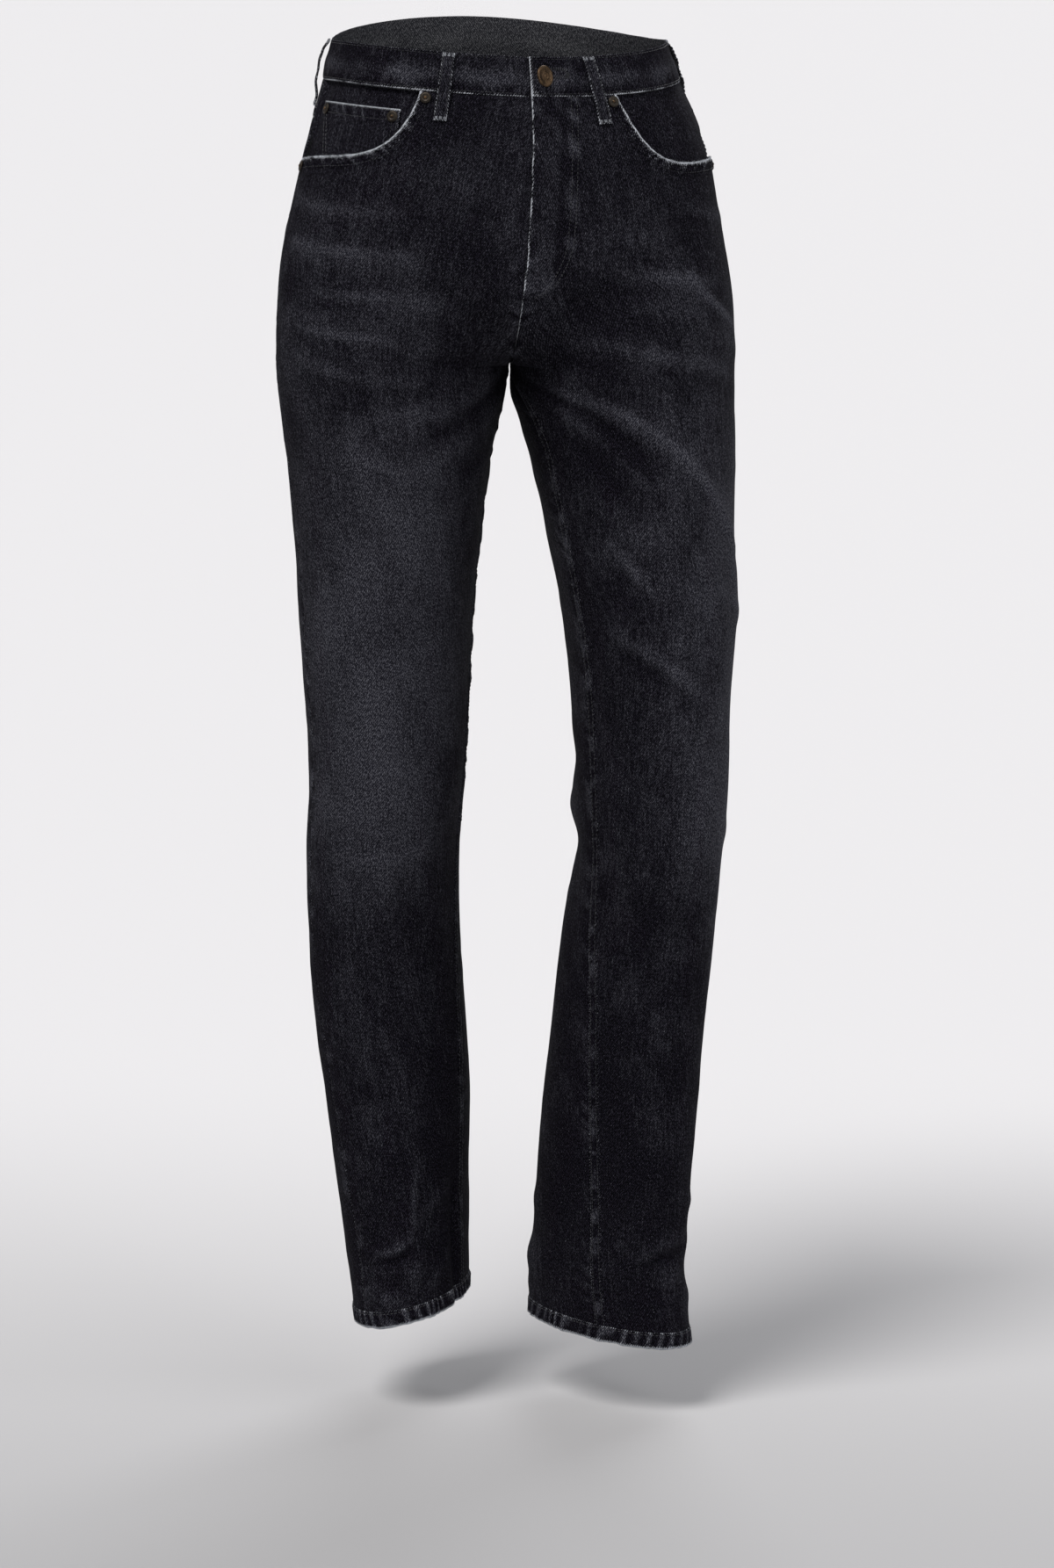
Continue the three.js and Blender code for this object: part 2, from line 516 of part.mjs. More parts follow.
// The waistband goes right round and ends under itself at the front.
const UNDERLAP = 24; // degrees that its inner end runs on behind the fly
function waistband() {
  const [rows, columns, lapColumns] = [2, 56, 3];
  const ramp = 5; // degrees over which the inner end moves behind the outer one
  const behind = BAND_OUT + BAND_IN + SEAM_GAP;
  const at = (i, j, out) => {
    if (j > columns) {
      const angle = ((j - columns) / lapColumns) * UNDERLAP * RAD;
      return bandPoint(LEFT, angle, i / rows, out - behind);
    }
    const round = (j / columns) * 2 * Math.PI;
    if (round <= Math.PI) return bandPoint(LEFT, round, i / rows, out);
    const angle = 2 * Math.PI - round;
    return bandPoint(RIGHT, angle, i / rows, out - behind * smooth(1 - angle / RAD / ramp));
  };
  return wall(rows, columns + lapColumns, at, BAND_OUT, -BAND_IN);
}

// A turned-up hem: a ring under the leg's panels.
function hem(half) {
  const [rows, columns] = [2, 40];
  const bottom = (angle) => hemDrop(half, angle);
  const at = (i, j, out) => {
    const round = (j / columns) * Math.PI;
    const drop = bottom(round) - HEM_HEIGHT * (1 - i / rows);
    const step = 0.01;
    const across = facePoint(half, round + step, drop, 1).sub(facePoint(half, round - step, drop, 1));
    const normal = new THREE.Vector3(0, 0, -1).cross(across).multiplyScalar(half.side).normalize();
    const flare = relief(half, round, bottom(round) - HEM_HEIGHT);
    return facePoint(half, round, drop, 1).addScaledVector(normal, out + flare);
  };
  return wall(rows, columns, at, BAND_OUT, -BAND_IN, true);
}

// A belt loop: a strip that lies on the cloth below the waist seam, bridges the band, and is sewn at its top.
const LOOP_WIDTH = 10;
const LOOP_TAIL = 22; // below the waist seam
const LOOP_CLOTH = 1.6;
function beltLoop(half, degrees, footDegrees, stand) {
  const [rows, columns] = [14, 2];
  const halfAngle = LOOP_WIDTH / 2 / hipSpeed(BAND_HEIGHT);
  const flat = SEAM_GAP;
  const onBand = BAND_OUT + SEAM_GAP;
  const at = (i, j, out) => {
    const angle = mix(degrees, footDegrees, i / rows) * RAD + mix(-halfAngle, halfAngle, j / columns);
    const down = mix(1, BAND_HEIGHT + LOOP_TAIL, i / rows); // from the band's top edge
    const arch = smooth((down - 1) / 9) * smooth((BAND_HEIGHT + LOOP_TAIL * 0.75 - down) / 12);
    const rest = down < BAND_HEIGHT + 3 ? onBand : mix(onBand, flat, smooth((down - BAND_HEIGHT - 3) / 5));
    const lift = rest + stand * arch;
    const isBand = down <= BAND_HEIGHT;
    if (isBand) return bandPoint(half, angle, down / BAND_HEIGHT, out + lift);
    return clothPoint(half, angle, patternDrop(angle, down - BAND_HEIGHT), out + lift);
  };
  return wall(rows, columns, at, LOOP_CLOTH, 0);
}

// A patch pocket on the seat, with its pointed foot.
const SEAT_POCKET = { fromAngle: 113, toAngle: 163, topDrop: 66, bottomDrop: 190, point: 14 };
function seatPocket(half) {
  const [rows, columns] = [7, 8];
  const taper = 3; // degrees that each side comes in by its foot
  const at = (i, j, out) => {
    const k = i / rows;
    const c = j / columns;
    const [low, high] = [SEAT_POCKET.fromAngle + taper * k, SEAT_POCKET.toAngle - taper * k];
    const around = mix(low, high, c) * RAD;
    const foot = SEAT_POCKET.bottomDrop + SEAT_POCKET.point * (1 - Math.abs(2 * c - 1));
    const { angle, t } = hipPlace(half, around, mix(SEAT_POCKET.topDrop, foot, k));
    return clothPoint(half, angle, t, out);
  };
  return wall(rows, columns, at, LAY_GAP + CLOTH, LAY_GAP);
}

// Pattern place of an angle round the hips and a drop below the origin, found by halving the range.
function hipPlace(half, around, drop) {
  let [low, high] = [0, 1];
  for (let n = 0; n < 30; n++) {
    const middle = (low + high) / 2;
    if (place(half, lineAt(around, middle), middle).drop < drop) low = middle;
    else high = middle;
  }
  return { angle: lineAt(around, low), t: low };
}

// A turned solid set on the cloth: profile is [radius, height] from the axis round to the axis.
function turned(profile, segments, foot, normal) {
  const points = profile.map(([radius, height]) => new THREE.Vector2(radius, height));
  const geometry = new THREE.LatheGeometry(points, segments);
  geometry.applyQuaternion(new THREE.Quaternion().setFromUnitVectors(new THREE.Vector3(0, 1, 0), normal));
  geometry.translate(foot.x, foot.y, foot.z);
  return geometry;
}

// A domed rivet with its raised middle.
const RIVET_RADIUS = 4.5;
function rivet(half, degrees, down, base) {
  const angle = degrees * RAD;
  const t = patternDrop(angle, down);
  const foot = clothPoint(half, angle, t, base);
  const normal = clothPoint(half, angle, t, base + 1).sub(foot);
  const rise = [[1, 0], [1, 0.4], [0.84, 1.1], [0.44, 1.1], [0.2, 1.9]];
  const profile = [[0, 0], ...rise.map(([share, height]) => [share * RIVET_RADIUS, height]), [0, 2.1]];
  return turned(profile, 12, foot, normal);
}

// The shank button, which leans to the wearer's left on its foot.
const BUTTON_RADIUS = 8.5;
const BUTTON_LEAN = 24;
function button() {
  const angle = 8.5 / hipSpeed(BAND_HEIGHT / 2);
  const base = BAND_OUT + 2;
  const foot = bandPoint(LEFT, angle, 0.52, base);
  const normal = bandPoint(LEFT, angle, 0.52, base + 1).sub(foot);
  normal.applyAxisAngle(new THREE.Vector3(0, 0, 1), BUTTON_LEAN * RAD);
  const shank = [[0, 0], [3.6, 0], [3, 1.4], [3, 2.4]];
  const head = [[0.92, 2.6], [1, 3.1], [1, 3.9], [0.88, 4.6], [0.66, 4.3], [0.4, 4.1], [0.34, 4.7], [0.16, 4.5]];
  const profile = [...shank, ...head.map(([share, height]) => [share * BUTTON_RADIUS, height]), [0, 4.4]];
  return turned(profile, 20, foot, normal);
}

for (const half of [LEFT, RIGHT]) {
  add(`front_${half.name}`, frontPanel(half), denim(DENIM));
  add(`back_${half.name}`, backPanel(half), denim(DENIM));
  add(`yoke_${half.name}`, yoke(half), denim(DENIM));
  add(`hem_${half.name}`, hem(half), denim(DENIM_EDGE));
  add(`seat_pocket_${half.name}`, seatPocket(half), denim(DENIM));
}
const COIN_DEPTH = CLOTH + LAY_GAP + COIN_CLOTH + LAY_GAP;
add("pocket_facing_left", pocketFacing(LEFT, CLOTH + LAY_GAP), denim(DENIM));
add("pocket_facing_right", pocketFacing(RIGHT, COIN_DEPTH), denim(DENIM));
add("coin_pocket", coinPocket(RIGHT), denim(DENIM));
add("fly_flap", flyFlap(LEFT), denim(DENIM));
add("waistband", waistband(), denim(DENIM_EDGE));

const FRONT_STAND = 1.6; // how far a loop bows away from the band
const SIDE_STAND = 3.2;
add("belt_loop_front_left", beltLoop(LEFT, 20.6, 22.5, FRONT_STAND), denim(DENIM_EDGE));
add("belt_loop_front_right", beltLoop(RIGHT, 25, 26.2, FRONT_STAND), denim(DENIM_EDGE));
add("belt_loop_side_left", beltLoop(LEFT, 96, 98, SIDE_STAND), denim(DENIM_EDGE));
add("belt_loop_side_right", beltLoop(RIGHT, 96, 98, SIDE_STAND), denim(DENIM_EDGE));
add("belt_loop_back", beltLoop(LEFT, 180, 180, FRONT_STAND), denim(DENIM_EDGE));

// Rivets at the ends of the pocket mouths and at the coin pocket's corners.
const ON_PANEL = SEAM_GAP;
const ON_COIN = -CLOTH - LAY_GAP + SEAM_GAP;
add("rivet_left_inner", rivet(LEFT, 26.5, 5.4, ON_PANEL), BRASS);
add("rivet_right_inner", rivet(RIGHT, 31, 5.4, ON_PANEL), BRASS);
add("rivet_left_outer", rivet(LEFT, 87, POCKET_DEPTH + 6, ON_PANEL), BRASS);
add("rivet_right_outer", rivet(RIGHT, 87, POCKET_DEPTH + 6, ON_PANEL), BRASS);
add("rivet_coin_inner", rivet(RIGHT, 40.8, COIN.topDrop + 6, ON_COIN), BRASS);
add("rivet_coin_outer", rivet(RIGHT, 75.5, COIN.topDrop + 6, ON_COIN), BRASS);
add("button", button(), BRASS);

export default jeans;
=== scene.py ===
# Straight leg five-pocket jeans in washed black denim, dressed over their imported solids. The shapes are
# worked out in millimetres and made in metres: +Z is up, -Y is the front and +X is the wearer's left.
import math
import bpy
import numpy as np
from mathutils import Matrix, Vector


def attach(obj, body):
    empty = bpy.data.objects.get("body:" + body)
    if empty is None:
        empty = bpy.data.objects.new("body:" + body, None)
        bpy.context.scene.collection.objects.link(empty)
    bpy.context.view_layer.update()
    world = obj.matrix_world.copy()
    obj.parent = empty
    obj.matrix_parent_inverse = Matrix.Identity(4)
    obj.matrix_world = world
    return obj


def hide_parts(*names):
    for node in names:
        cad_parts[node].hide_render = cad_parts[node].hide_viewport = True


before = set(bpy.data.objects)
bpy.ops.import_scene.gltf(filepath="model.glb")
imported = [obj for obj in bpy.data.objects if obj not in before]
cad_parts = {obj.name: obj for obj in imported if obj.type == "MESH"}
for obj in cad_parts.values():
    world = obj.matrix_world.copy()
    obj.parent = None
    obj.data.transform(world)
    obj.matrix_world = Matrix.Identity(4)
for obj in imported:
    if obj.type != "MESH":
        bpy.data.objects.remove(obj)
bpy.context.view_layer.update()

# Front panels: one of washed black denim, about 13 ounces, for each leg. Each is cut from the waist seam to
# the hem, scooped out for the pocket's mouth, and felled to its neighbours with two rows of stitching.
CLOTH = 1.2  # wall of one layer of denim
LAY_GAP = 0.95  # between a panel and the layer behind or over it
EDGE_GAP = 0.12  # what each sewn edge stays back from the seam line
BAND_HEIGHT = 31
FRONT_DIP, BACK_RISE = 12, 18
HEM_HEIGHT = 14
CROTCH_DROP = 258
SIDE_CROTCH_DROP = 252
PELVIS_TURN = math.radians(9)
BOXINESS = 0.04  # how much squarer than an oval the hips are
STRAIGHT_RISE = 0.48  # share of the rise above the bend of the centre seam
FRONT_BEND_DROP, BACK_BEND_DROP = 190, 172
NARROWING = 0.4  # share of the rise where the side starts to turn into the leg
DRAW_START, DRAW_END = 0.3, 0.85  # shares of the rise between which the cloth draws in to the centre
DEGREE_MM = 2.7  # cloth to a degree round the body
LEG_RADIUS = 88  # cloth to a radian round the leg
POCKET_DEPTH = 62
SIDE_SEAM = math.pi / 2

# Hip sections: drop, half-width to the wearer's right and left, depth forward and back, centre front line.
HIPS = np.array([
    [-20, 131, 131, 86, 80, 9],
    [0, 132.5, 132.5, 88, 83, 9],
    [31, 140, 143, 94, 92, 8.5],
    [57, 147, 156, 99, 100, 6],
    [91, 156, 168, 103, 110, 4],
    [136, 166.5, 175, 106, 121, 3.5],
    [192, 174.5, 181, 107, 127, -0.5],
    [248, 178.5, 188.5, 104, 122, -7],
    [300, 175, 190, 100, 112, -11],
], float)
# Leg sections: drop, inner and outer edge, girth, depth of the centre, lean, and the turn of the inseam and
# of the side seam in degrees.
LEFT_LEG = np.array([
    [258, 8, 189, 622, 19, -1, 0, -12],
    [285, 8.5, 190, 604, 17, -4, 28, -14],
    [310, 16, 190, 588, 14, -6, 34, -16],
    [335, 24.5, 190, 573, 11, -8, 34, -18],
    [400, 38, 189.5, 540, 4, -12, 35, -22],
    [455, 49.5, 192, 518, -3, -15, 35, -26],
    [520, 57, 187, 485, -10, -18, 37, -30],
    [590, 58, 185, 455, -15, -20, 40, -34],
    [650, 61, 180, 440, -15, -22, 40, -38],
    [720, 51, 174, 430, -10, -24, 49, -43],
    [790, 42.5, 165.5, 420, -5, -25, 59, -49],
    [860, 36, 161.5, 412, 0, -26, 65, -54],
    [930, 30, 156, 405, 3, -27, 72, -59],
    [1000, 26, 151, 400, 4, -28, 77, -63],
    [1060, 25, 156, 400, 5, -28, 81, -66],
], float)
RIGHT_LEG = np.array([
    [258, -8, 178, 620, -6, -26, 0, 8],
    [285, -3, 176, 600, -7, -22, 0, 10],
    [310, 2.5, 173, 583, -8, -20, 0, 11],
    [335, 7.5, 170, 565, -9, -18, 0, 12],
    [400, 16, 165, 532, -8, -16, 0, 18],
    [455, 21.5, 163, 510, -8, -15, 0, 22],
    [520, 24.5, 158.5, 480, -8, -14, 2, 23],
    [590, 28, 154, 452, -6, -14, 6, 21],
    [650, 33, 156.5, 438, 0, -14, 10, 21],
    [720, 33, 156, 428, 6, -15, 15, 23],
    [790, 28.5, 151.5, 420, 11, -16, 20, 27],
    [860, 25, 143, 412, 15, -17, 24, 31],
    [930, 26.5, 134.5, 404, 19, -18, 24, 38],
    [1000, 27, 126, 398, 22, -19, 22, 40],
    [1045, 27, 121, 396, 24, -20, 22, 38],
], float)
# Folds: degrees and drop of both ends, how far the middle swings down, width, height, and how pale wear and a
# painted highlight make its ridge (below zero: painted shade in its trough).
LEFT_FOLDS = [
    [48, 180, 84, 252, 6, 11, 2.6, 0.25],
    [40, 206, 78, 290, 8, 12, -2.2, -0.12],
    [22, 285, 72, 420, -28, 14, 2.8, 0.28],
    [24, 318, 66, 452, -26, 13, -2.4, -0.12],
    [16, 362, 60, 500, -22, 14, 2.2, 0.17],
    [56, 976, 106, 970, 0, 11, 3.4, 0.17],
    [60, 1003, 104, 996, 0, 9, -5, -0.12],
    [48, 1012, 76, 1022, 4, 12, 2.6, 0.14],
    [106, 318, 166, 300, 16, 15, -3.6, -0.12],
    [112, 362, 162, 350, 14, 15, 2.8, 0.21],
    [112, 540, 166, 578, 8, 17, -5.2, -0.12],
    [110, 600, 168, 622, 10, 17, 4.4, 0.28],
    [116, 668, 164, 640, 6, 16, -4.2, -0.12],
    [118, 980, 162, 1002, 6, 13, 3.6, 0.14],
]
LEFT_CREASES = [
    [56, 183, 79, 229, 2, 3.8, 1.5, 0.62],
    [52, 190, 74, 236, 2, 5.5, -1.2, -0.1],
    [27, 282, 57, 356, -4, 5, 1.7, 0.38],
    [54, 350, 73, 405, 1, 4.2, 1.5, 0.46],
    [22, 296, 62, 392, -6, 8, -1.5, -0.1],
    [19, 394, 32, 438, 0, 5.5, 1.7, 0.32],
    [13, 465, 46, 515, -4, 6.5, 1.6, 0.3],
    [16, 482, 44, 535, -4, 8, -1.2, -0.08],
    [24, 150, 52, 168, 2, 6, 1, 0.14],
    [30, 178, 70, 190, 3, 6, 1.2, 0.26],
    [38, 204, 62, 214, 2, 6, 0.9, 0.14],
    [34, 235, 74, 262, 0, 7, 1.2, 0.28],
    [60, 436, 82, 470, -3, 6, 1.2, 0.2],
    [46, 128, 84, 140, 4, 6, 0.9, 0.22],
    [52, 640, 88, 612, 6, 8.6, 1.3, 0.12],
    [40, 930, 84, 944, 5, 7.3, 1.6, 0.16],
    [20, 994, 32, 981, -2, 4, -2.6, -0.16],
    [31, 982, 52, 977, 0, 5, -3.6, -0.14],
    [18, 984, 46, 965, -2, 6, 2.2, 0.16],
    [26, 1004, 44, 995, 2, 6, 2, 0.16],
    [10, 262, 40, 322, -4, 5, 1.4, 0.14],
    [8, 270, 36, 338, -5, 6, -2, -0.16],
    [12, 290, 34, 352, -4, 5, 1.6, 0.2],
    [11, 310, 30, 376, -4, 6, -1.8, -0.14],
    [14, 246, 44, 268, -4, 6, -1.2, -0.1],
    [100, 150, 150, 240, 14, 8.6, 1.89, 0.26],
    [104, 400, 158, 392, 10, 8.6, 2.16, 0.2],
    [108, 470, 160, 452, 10, 8.6, 1.89, 0.17],
    [108, 560, 154, 612, 8, 7.3, 1.8, 0.27],
    [106, 634, 154, 620, 8, 7.3, 1.62, 0.27],
    [112, 700, 154, 690, 6, 8.6, 1.44, 0.19],
    [110, 936, 154, 950, 6, 8.6, 1.62, 0.16],
    [112, 1014, 154, 1020, 4, 7.3, 1.44, 0.14],
]
RIGHT_FOLDS = [
    [34, 176, 80, 166, 6, 10, 1.6, 0.2],
    [30, 205, 80, 214, 5, 10, 1.6, 0.2],
    [16, 300, 58, 262, 8, 12, -2, -0.12],
    [40, 985, 52, 1000, 6, 9, 2.6, 0.21],
    [50, 1004, 70, 1008, 0, 9, -2.4, -0.12],
    [12, 935, 11, 1022, -3, 9, -4.5, -0.12],
    [108, 322, 164, 306, 16, 15, -3.2, -0.12],
    [112, 372, 162, 352, 12, 15, 2.6, 0.21],
    [112, 560, 166, 590, 8, 16, -4.6, -0.12],
    [114, 612, 166, 640, 8, 16, 3.8, 0.28],
    [116, 676, 162, 660, 6, 16, -3.4, -0.12],
    [116, 984, 160, 1000, 6, 13, 3.4, 0.14],
]
RIGHT_CREASES = [
    [34, 167, 80, 156, 2, 5.4, 1.4, 0.3],
    [40, 181, 78, 176, 2, 6, -1.1, -0.1],
    [40, 198, 66, 195, 2, 4.6, 1.3, 0.28],
    [42, 213, 72, 208, 2, 6, -1.1, -0.1],
    [46, 232, 72, 223, 2, 4.6, 1.3, 0.3],
    [40, 268, 74, 247, 4, 5.4, 1.4, 0.22],
    [32, 279, 54, 296, 3, 5, 1.1, 0.18],
    [36, 132, 84, 122, 4, 6, 0.9, 0.26],
    [18, 300, 50, 276, 5, 7, 1.6, 0.16],
    [20, 345, 60, 322, 6, 8, 1.1, 0.14],
    [24, 640, 70, 650, 8, 8.6, 1.3, 0.12],
    [22, 934, 42, 948, 3, 7, 1.6, 0.16],
    [40, 912, 46, 966, 3, 4.6, 2.6, 0.36],
    [46, 968, 72, 979, 3, 3.8, 2.6, 0.4],
    [72, 979, 77, 996, -2, 4.2, 2, 0.3],
    [47, 976, 70, 987, 3, 4.2, -2.4, -0.2],
    [9, 928, 8, 1000, 3, 3.6, -2.2, -0.25],
    [18, 976, 36, 1012, 4, 6, 1.6, 0.17],
    [6, 950, 7, 1006, 2, 5, 2, 0.2],
    [8, 256, 42, 300, 5, 5, 1.3, 0.14],
    [8, 268, 40, 316, 5, 6, -2, -0.16],
    [10, 292, 36, 332, 5, 5, 1.5, 0.18],
    [9, 318, 30, 350, 4, 6, -1.6, -0.12],
    [12, 244, 40, 252, 4, 6, -1.2, -0.1],
    [56, 1016, 84, 1012, 2, 7, 1.6, 0.16],
    [100, 150, 150, 240, 14, 8.6, 1.89, 0.26],
    [104, 404, 158, 398, 10, 8.6, 2.16, 0.2],
    [108, 474, 160, 458, 10, 8.6, 1.89, 0.17],
    [108, 580, 154, 624, 8, 7.3, 1.8, 0.27],
    [106, 650, 154, 640, 8, 7.3, 1.62, 0.27],
    [112, 712, 154, 704, 6, 8.6, 1.44, 0.19],
    [110, 944, 154, 956, 6, 8.6, 1.62, 0.16],
    [112, 1016, 154, 1022, 4, 7.3, 1.44, 0.14],
]


class Half:
    """One half of the garment, on the wearer's left (side 1) or right (side -1)."""

    def __init__(self, name, side, leg, folds, creases, hem_inner, hem_outer, mouth):
        self.name, self.side, self.leg, self.folds, self.creases = name, side, leg, folds, creases
        self.hem_inner, self.hem_outer = hem_inner, hem_outer
        self.mouth_start, self.mouth_turn, self.mouth_corner, self.mouth_slope = mouth


LEFT = Half("left", 1, LEFT_LEG, LEFT_FOLDS, LEFT_CREASES, 1048, 1060, (28.5, 9.5, 0.96, 0.08))
RIGHT = Half("right", -1, RIGHT_LEG, RIGHT_FOLDS, RIGHT_CREASES, 1030, 1046, (33, 8.5, 0.78, 0.18))


def other_half(half):
    return RIGHT if half is LEFT else LEFT


def mix(a, b, k):
    return a + (b - a) * k


def smooth(x):
    k = np.clip(x, 0, 1)
    return k * k * (3 - 2 * k)


def bell(distance, width):
    return np.exp(-((distance / width) ** 2))


def unit(vectors):
    return vectors / np.maximum(np.linalg.norm(vectors, axis=-1, keepdims=True), 1e-12)


def section_at(table, drop):
    """Every column of a table at some drops, on a smooth curve through its rows."""
    drop = np.asarray(drop, float)
    last = len(table) - 1
    i = np.clip(np.searchsorted(table[:, 0], drop, side="right") - 1, 0, last - 1)
    a, b = table[i], table[i + 1]
    before, after = table[np.maximum(i - 1, 0)], table[np.minimum(i + 2, last)]
    span = b[..., :1] - a[..., :1]
    k = (drop[..., None] - a[..., :1]) / span
    into = (b - before) / (b[..., :1] - before[..., :1]) * span
    out = (after - a) / (after[..., :1] - a[..., :1]) * span
    curve = (2 * k**3 - 3 * k**2 + 1) * a + (k**3 - 2 * k**2 + k) * into
    curve = curve + (3 * k**2 - 2 * k**3) * b + (k**3 - k**2) * out
    return np.moveaxis(curve[..., 1:], -1, 0)


def waist_drop(half, angle):
    level = np.cos(half.side * angle - PELVIS_TURN)
    return level * np.abs(level) * np.where(level > 0, FRONT_DIP, BACK_RISE)


def hip_point(half, angle, drop):
    right, left, front, back, fly = section_at(HIPS, drop)
    depth = np.where(angle < SIDE_SEAM, front, back)
    seen = (right + left) / 2
    width = np.sqrt(seen**2 - (depth * math.sin(PELVIS_TURN)) ** 2) / math.cos(PELVIS_TURN)
    full = 1 + BOXINESS * np.sin(2 * angle) ** 2
    x = half.side * width * np.sin(angle) * full
    y = -depth * np.cos(angle) * full
    shift = np.where(angle < SIDE_SEAM, fly * np.cos(angle) ** 4, 0)
    cos, sin = math.cos(PELVIS_TURN), math.sin(PELVIS_TURN)
    return (left - right) / 2 + shift + x * cos - y * sin, y * cos + x * sin


def leg_point(half, angle, drop):
    inner, outer, girth, centre, lean, inseam, outseam = section_at(half.leg, drop)
    width = (outer - inner) / 2
    depth = np.sqrt(girth**2 / (2 * math.pi**2) - width**2)
    reach = np.sqrt(depth**2 - lean**2)
    start, seam = np.radians(inseam), math.pi - np.radians(outseam)
    k = angle / SIDE_SEAM
    turn = np.where(k < 1, mix(start, seam, k), mix(seam, start + 2 * math.pi, k - 1))
    x = half.side * ((outer + inner) / 2 - width * np.cos(turn))
    return x, centre - lean * np.cos(turn) - reach * np.sin(turn)


def rise_edge(is_front, t):
    """Drop and share of the leg section along the centre front or centre back."""
    top = BAND_HEIGHT + np.where(is_front, waist_drop(LEFT, 0.0), waist_drop(LEFT, math.pi))
    bend = np.where(is_front, FRONT_BEND_DROP, BACK_BEND_DROP)
    turn = np.clip((t - STRAIGHT_RISE) / (1 - STRAIGHT_RISE), 0, 1) * SIDE_SEAM
    straight = t < STRAIGHT_RISE
    drop = np.where(straight, mix(top, bend, t / STRAIGHT_RISE), mix(bend, CROTCH_DROP, np.sin(turn)))
    return drop, np.where(straight, 0, 1 - np.cos(turn))


def hem_drop(half, angle):
    x = half.side * leg_point(half, angle, np.full(np.shape(angle), float(half.hem_outer)))[0]
    inner, outer = section_at(half.leg, half.hem_outer)[:2]
    return mix(half.hem_inner, half.hem_outer, np.clip((x - inner) / (outer - inner), 0, 1))


def place(half, angle, t):
    """Where a place on the pattern lies: t is 0 at the waist seam, 1 level with the crotch, 2 at the hem."""
    to_edge = np.cos(angle) ** 2
    front = angle < SIDE_SEAM
    edge_drop, edge_leg = rise_edge(front, np.clip(t, 0, 1))
    side_drop = mix(BAND_HEIGHT, SIDE_CROTCH_DROP, np.maximum(t, 0))
    above = np.where(t < 0, t * 250, 0)
    side_leg = smooth((t - NARROWING) / (1 - NARROWING))
    centre_waist = rise_edge(front, 0.0)[0] - BAND_HEIGHT
    uneven = (waist_drop(half, angle) - centre_waist * to_edge) * (1 - np.clip(t, 0, 1))
    on_hips = side_drop * (1 - to_edge) + edge_drop * to_edge + above + uneven
    start = mix(SIDE_CROTCH_DROP, CROTCH_DROP, to_edge)
    on_leg = mix(start, hem_drop(half, angle) - HEM_HEIGHT, t - 1)
    drop = np.where(t <= 1, on_hips, on_leg)
    return drop, np.where(t <= 1, mix(side_leg, edge_leg, to_edge**5), 1.0)


def hip_angle(angle, t):
    """The pattern's lines draw in to the centre to enter the leg."""
    from_centre = np.where(angle < SIDE_SEAM, angle, math.pi - angle)
    drawn = np.arcsin(np.clip(np.sin(from_centre) ** 2, 0, 1))
    lies = mix(from_centre, drawn, smooth((t - DRAW_START) / (DRAW_END - DRAW_START)))
    return np.where(angle < SIDE_SEAM, lies, math.pi - lies)


def line_at(around, t):
    around, t = np.broadcast_arrays(np.asarray(around, float), np.asarray(t, float))
    front = around < SIDE_SEAM
    low, high = np.where(front, 0, SIDE_SEAM), np.where(front, SIDE_SEAM, math.pi)
    for _ in range(30):
        middle = (low + high) / 2
        under = hip_angle(middle, t) < around
        low, high = np.where(under, middle, low), np.where(under, high, middle)
    return (low + high) / 2


def face_point(half, angle, drop, leg, around):
    hip = hip_point(half, around, drop)
    thigh = leg_point(half, angle, np.maximum(drop, CROTCH_DROP))
    return np.stack([mix(hip[0], thigh[0], leg), mix(hip[1], thigh[1], leg), -drop], axis=-1)


def bare_point(half, angle, t):
    drop, leg = place(half, angle, t)
    return face_point(half, angle, drop, leg, hip_angle(angle, t))


def side_normal(half, angle, t):
    step = 0.004
    hips = t < STRAIGHT_RISE
    low = np.where(hips, angle - step, np.maximum(angle - step, 0))
    high = np.where(hips, angle + step, np.minimum(angle + step, math.pi))
    across = bare_point(half, high, t) - bare_point(half, low, t)
    down = bare_point(half, angle, t + step) - bare_point(half, angle, t - step)
    return unit(np.cross(down, across) * half.side)


SHARED = 0.11  # radians beside a seam over which its two panels come to share one outward direction


def outward(half, angle, t):
    normal = side_normal(half, angle, t)
    near = (1 - np.clip(np.minimum(angle, math.pi - angle) / SHARED, 0, 1)) ** 2
    rise = near * smooth((1.02 - t) / 0.04)
    inseam = near * smooth((t - 0.98) / 0.04)
    normal = normal + side_normal(other_half(half), angle, t) * rise[..., None]
    normal = normal + side_normal(half, math.pi - angle, t) * inseam[..., None]
    return unit(normal)


def fold_height(angle, drop, folds, column):
    """Folds as soft ridges and troughs: column 6 gives their height, and column 7 how pale wear and a painted
    highlight make a ridge (below zero: painted shade in a trough).
    """
    total = np.zeros(np.shape(drop))
    for fold in folds:
        ax, ay, bx, by = fold[0] * DEGREE_MM, fold[1], fold[2] * DEGREE_MM, fold[3]
        dx, dy = bx - ax, by - ay
        px, py = np.degrees(angle) * DEGREE_MM - ax, drop - ay
        along = np.clip((px * dx + py * dy) / (dx * dx + dy * dy), 0, 1)
        off = np.hypot(px - dx * along, py - dy * along - fold[4] * 4 * along * (1 - along))
        fade = 0.45 + 0.55 * np.sin(math.pi * along)
        total = total + fold[column] * fade * bell(off, fold[5])
    return total


def soft_noise(x, y, seed):
    """Smooth unevenness of -1 to 1, with a period of one unit both ways."""
    lattice = np.random.default_rng(seed).uniform(-1, 1, (97, 97))
    x, y = np.broadcast_arrays(x, y)
    i, j = np.floor(x).astype(int), np.floor(y).astype(int)
    u, v = smooth(x - i), smooth(y - j)
    at = lambda a, b: lattice[a % 97, b % 97]
    return mix(mix(at(i, j), at(i + 1, j), u), mix(at(i, j + 1), at(i + 1, j + 1), u), v)


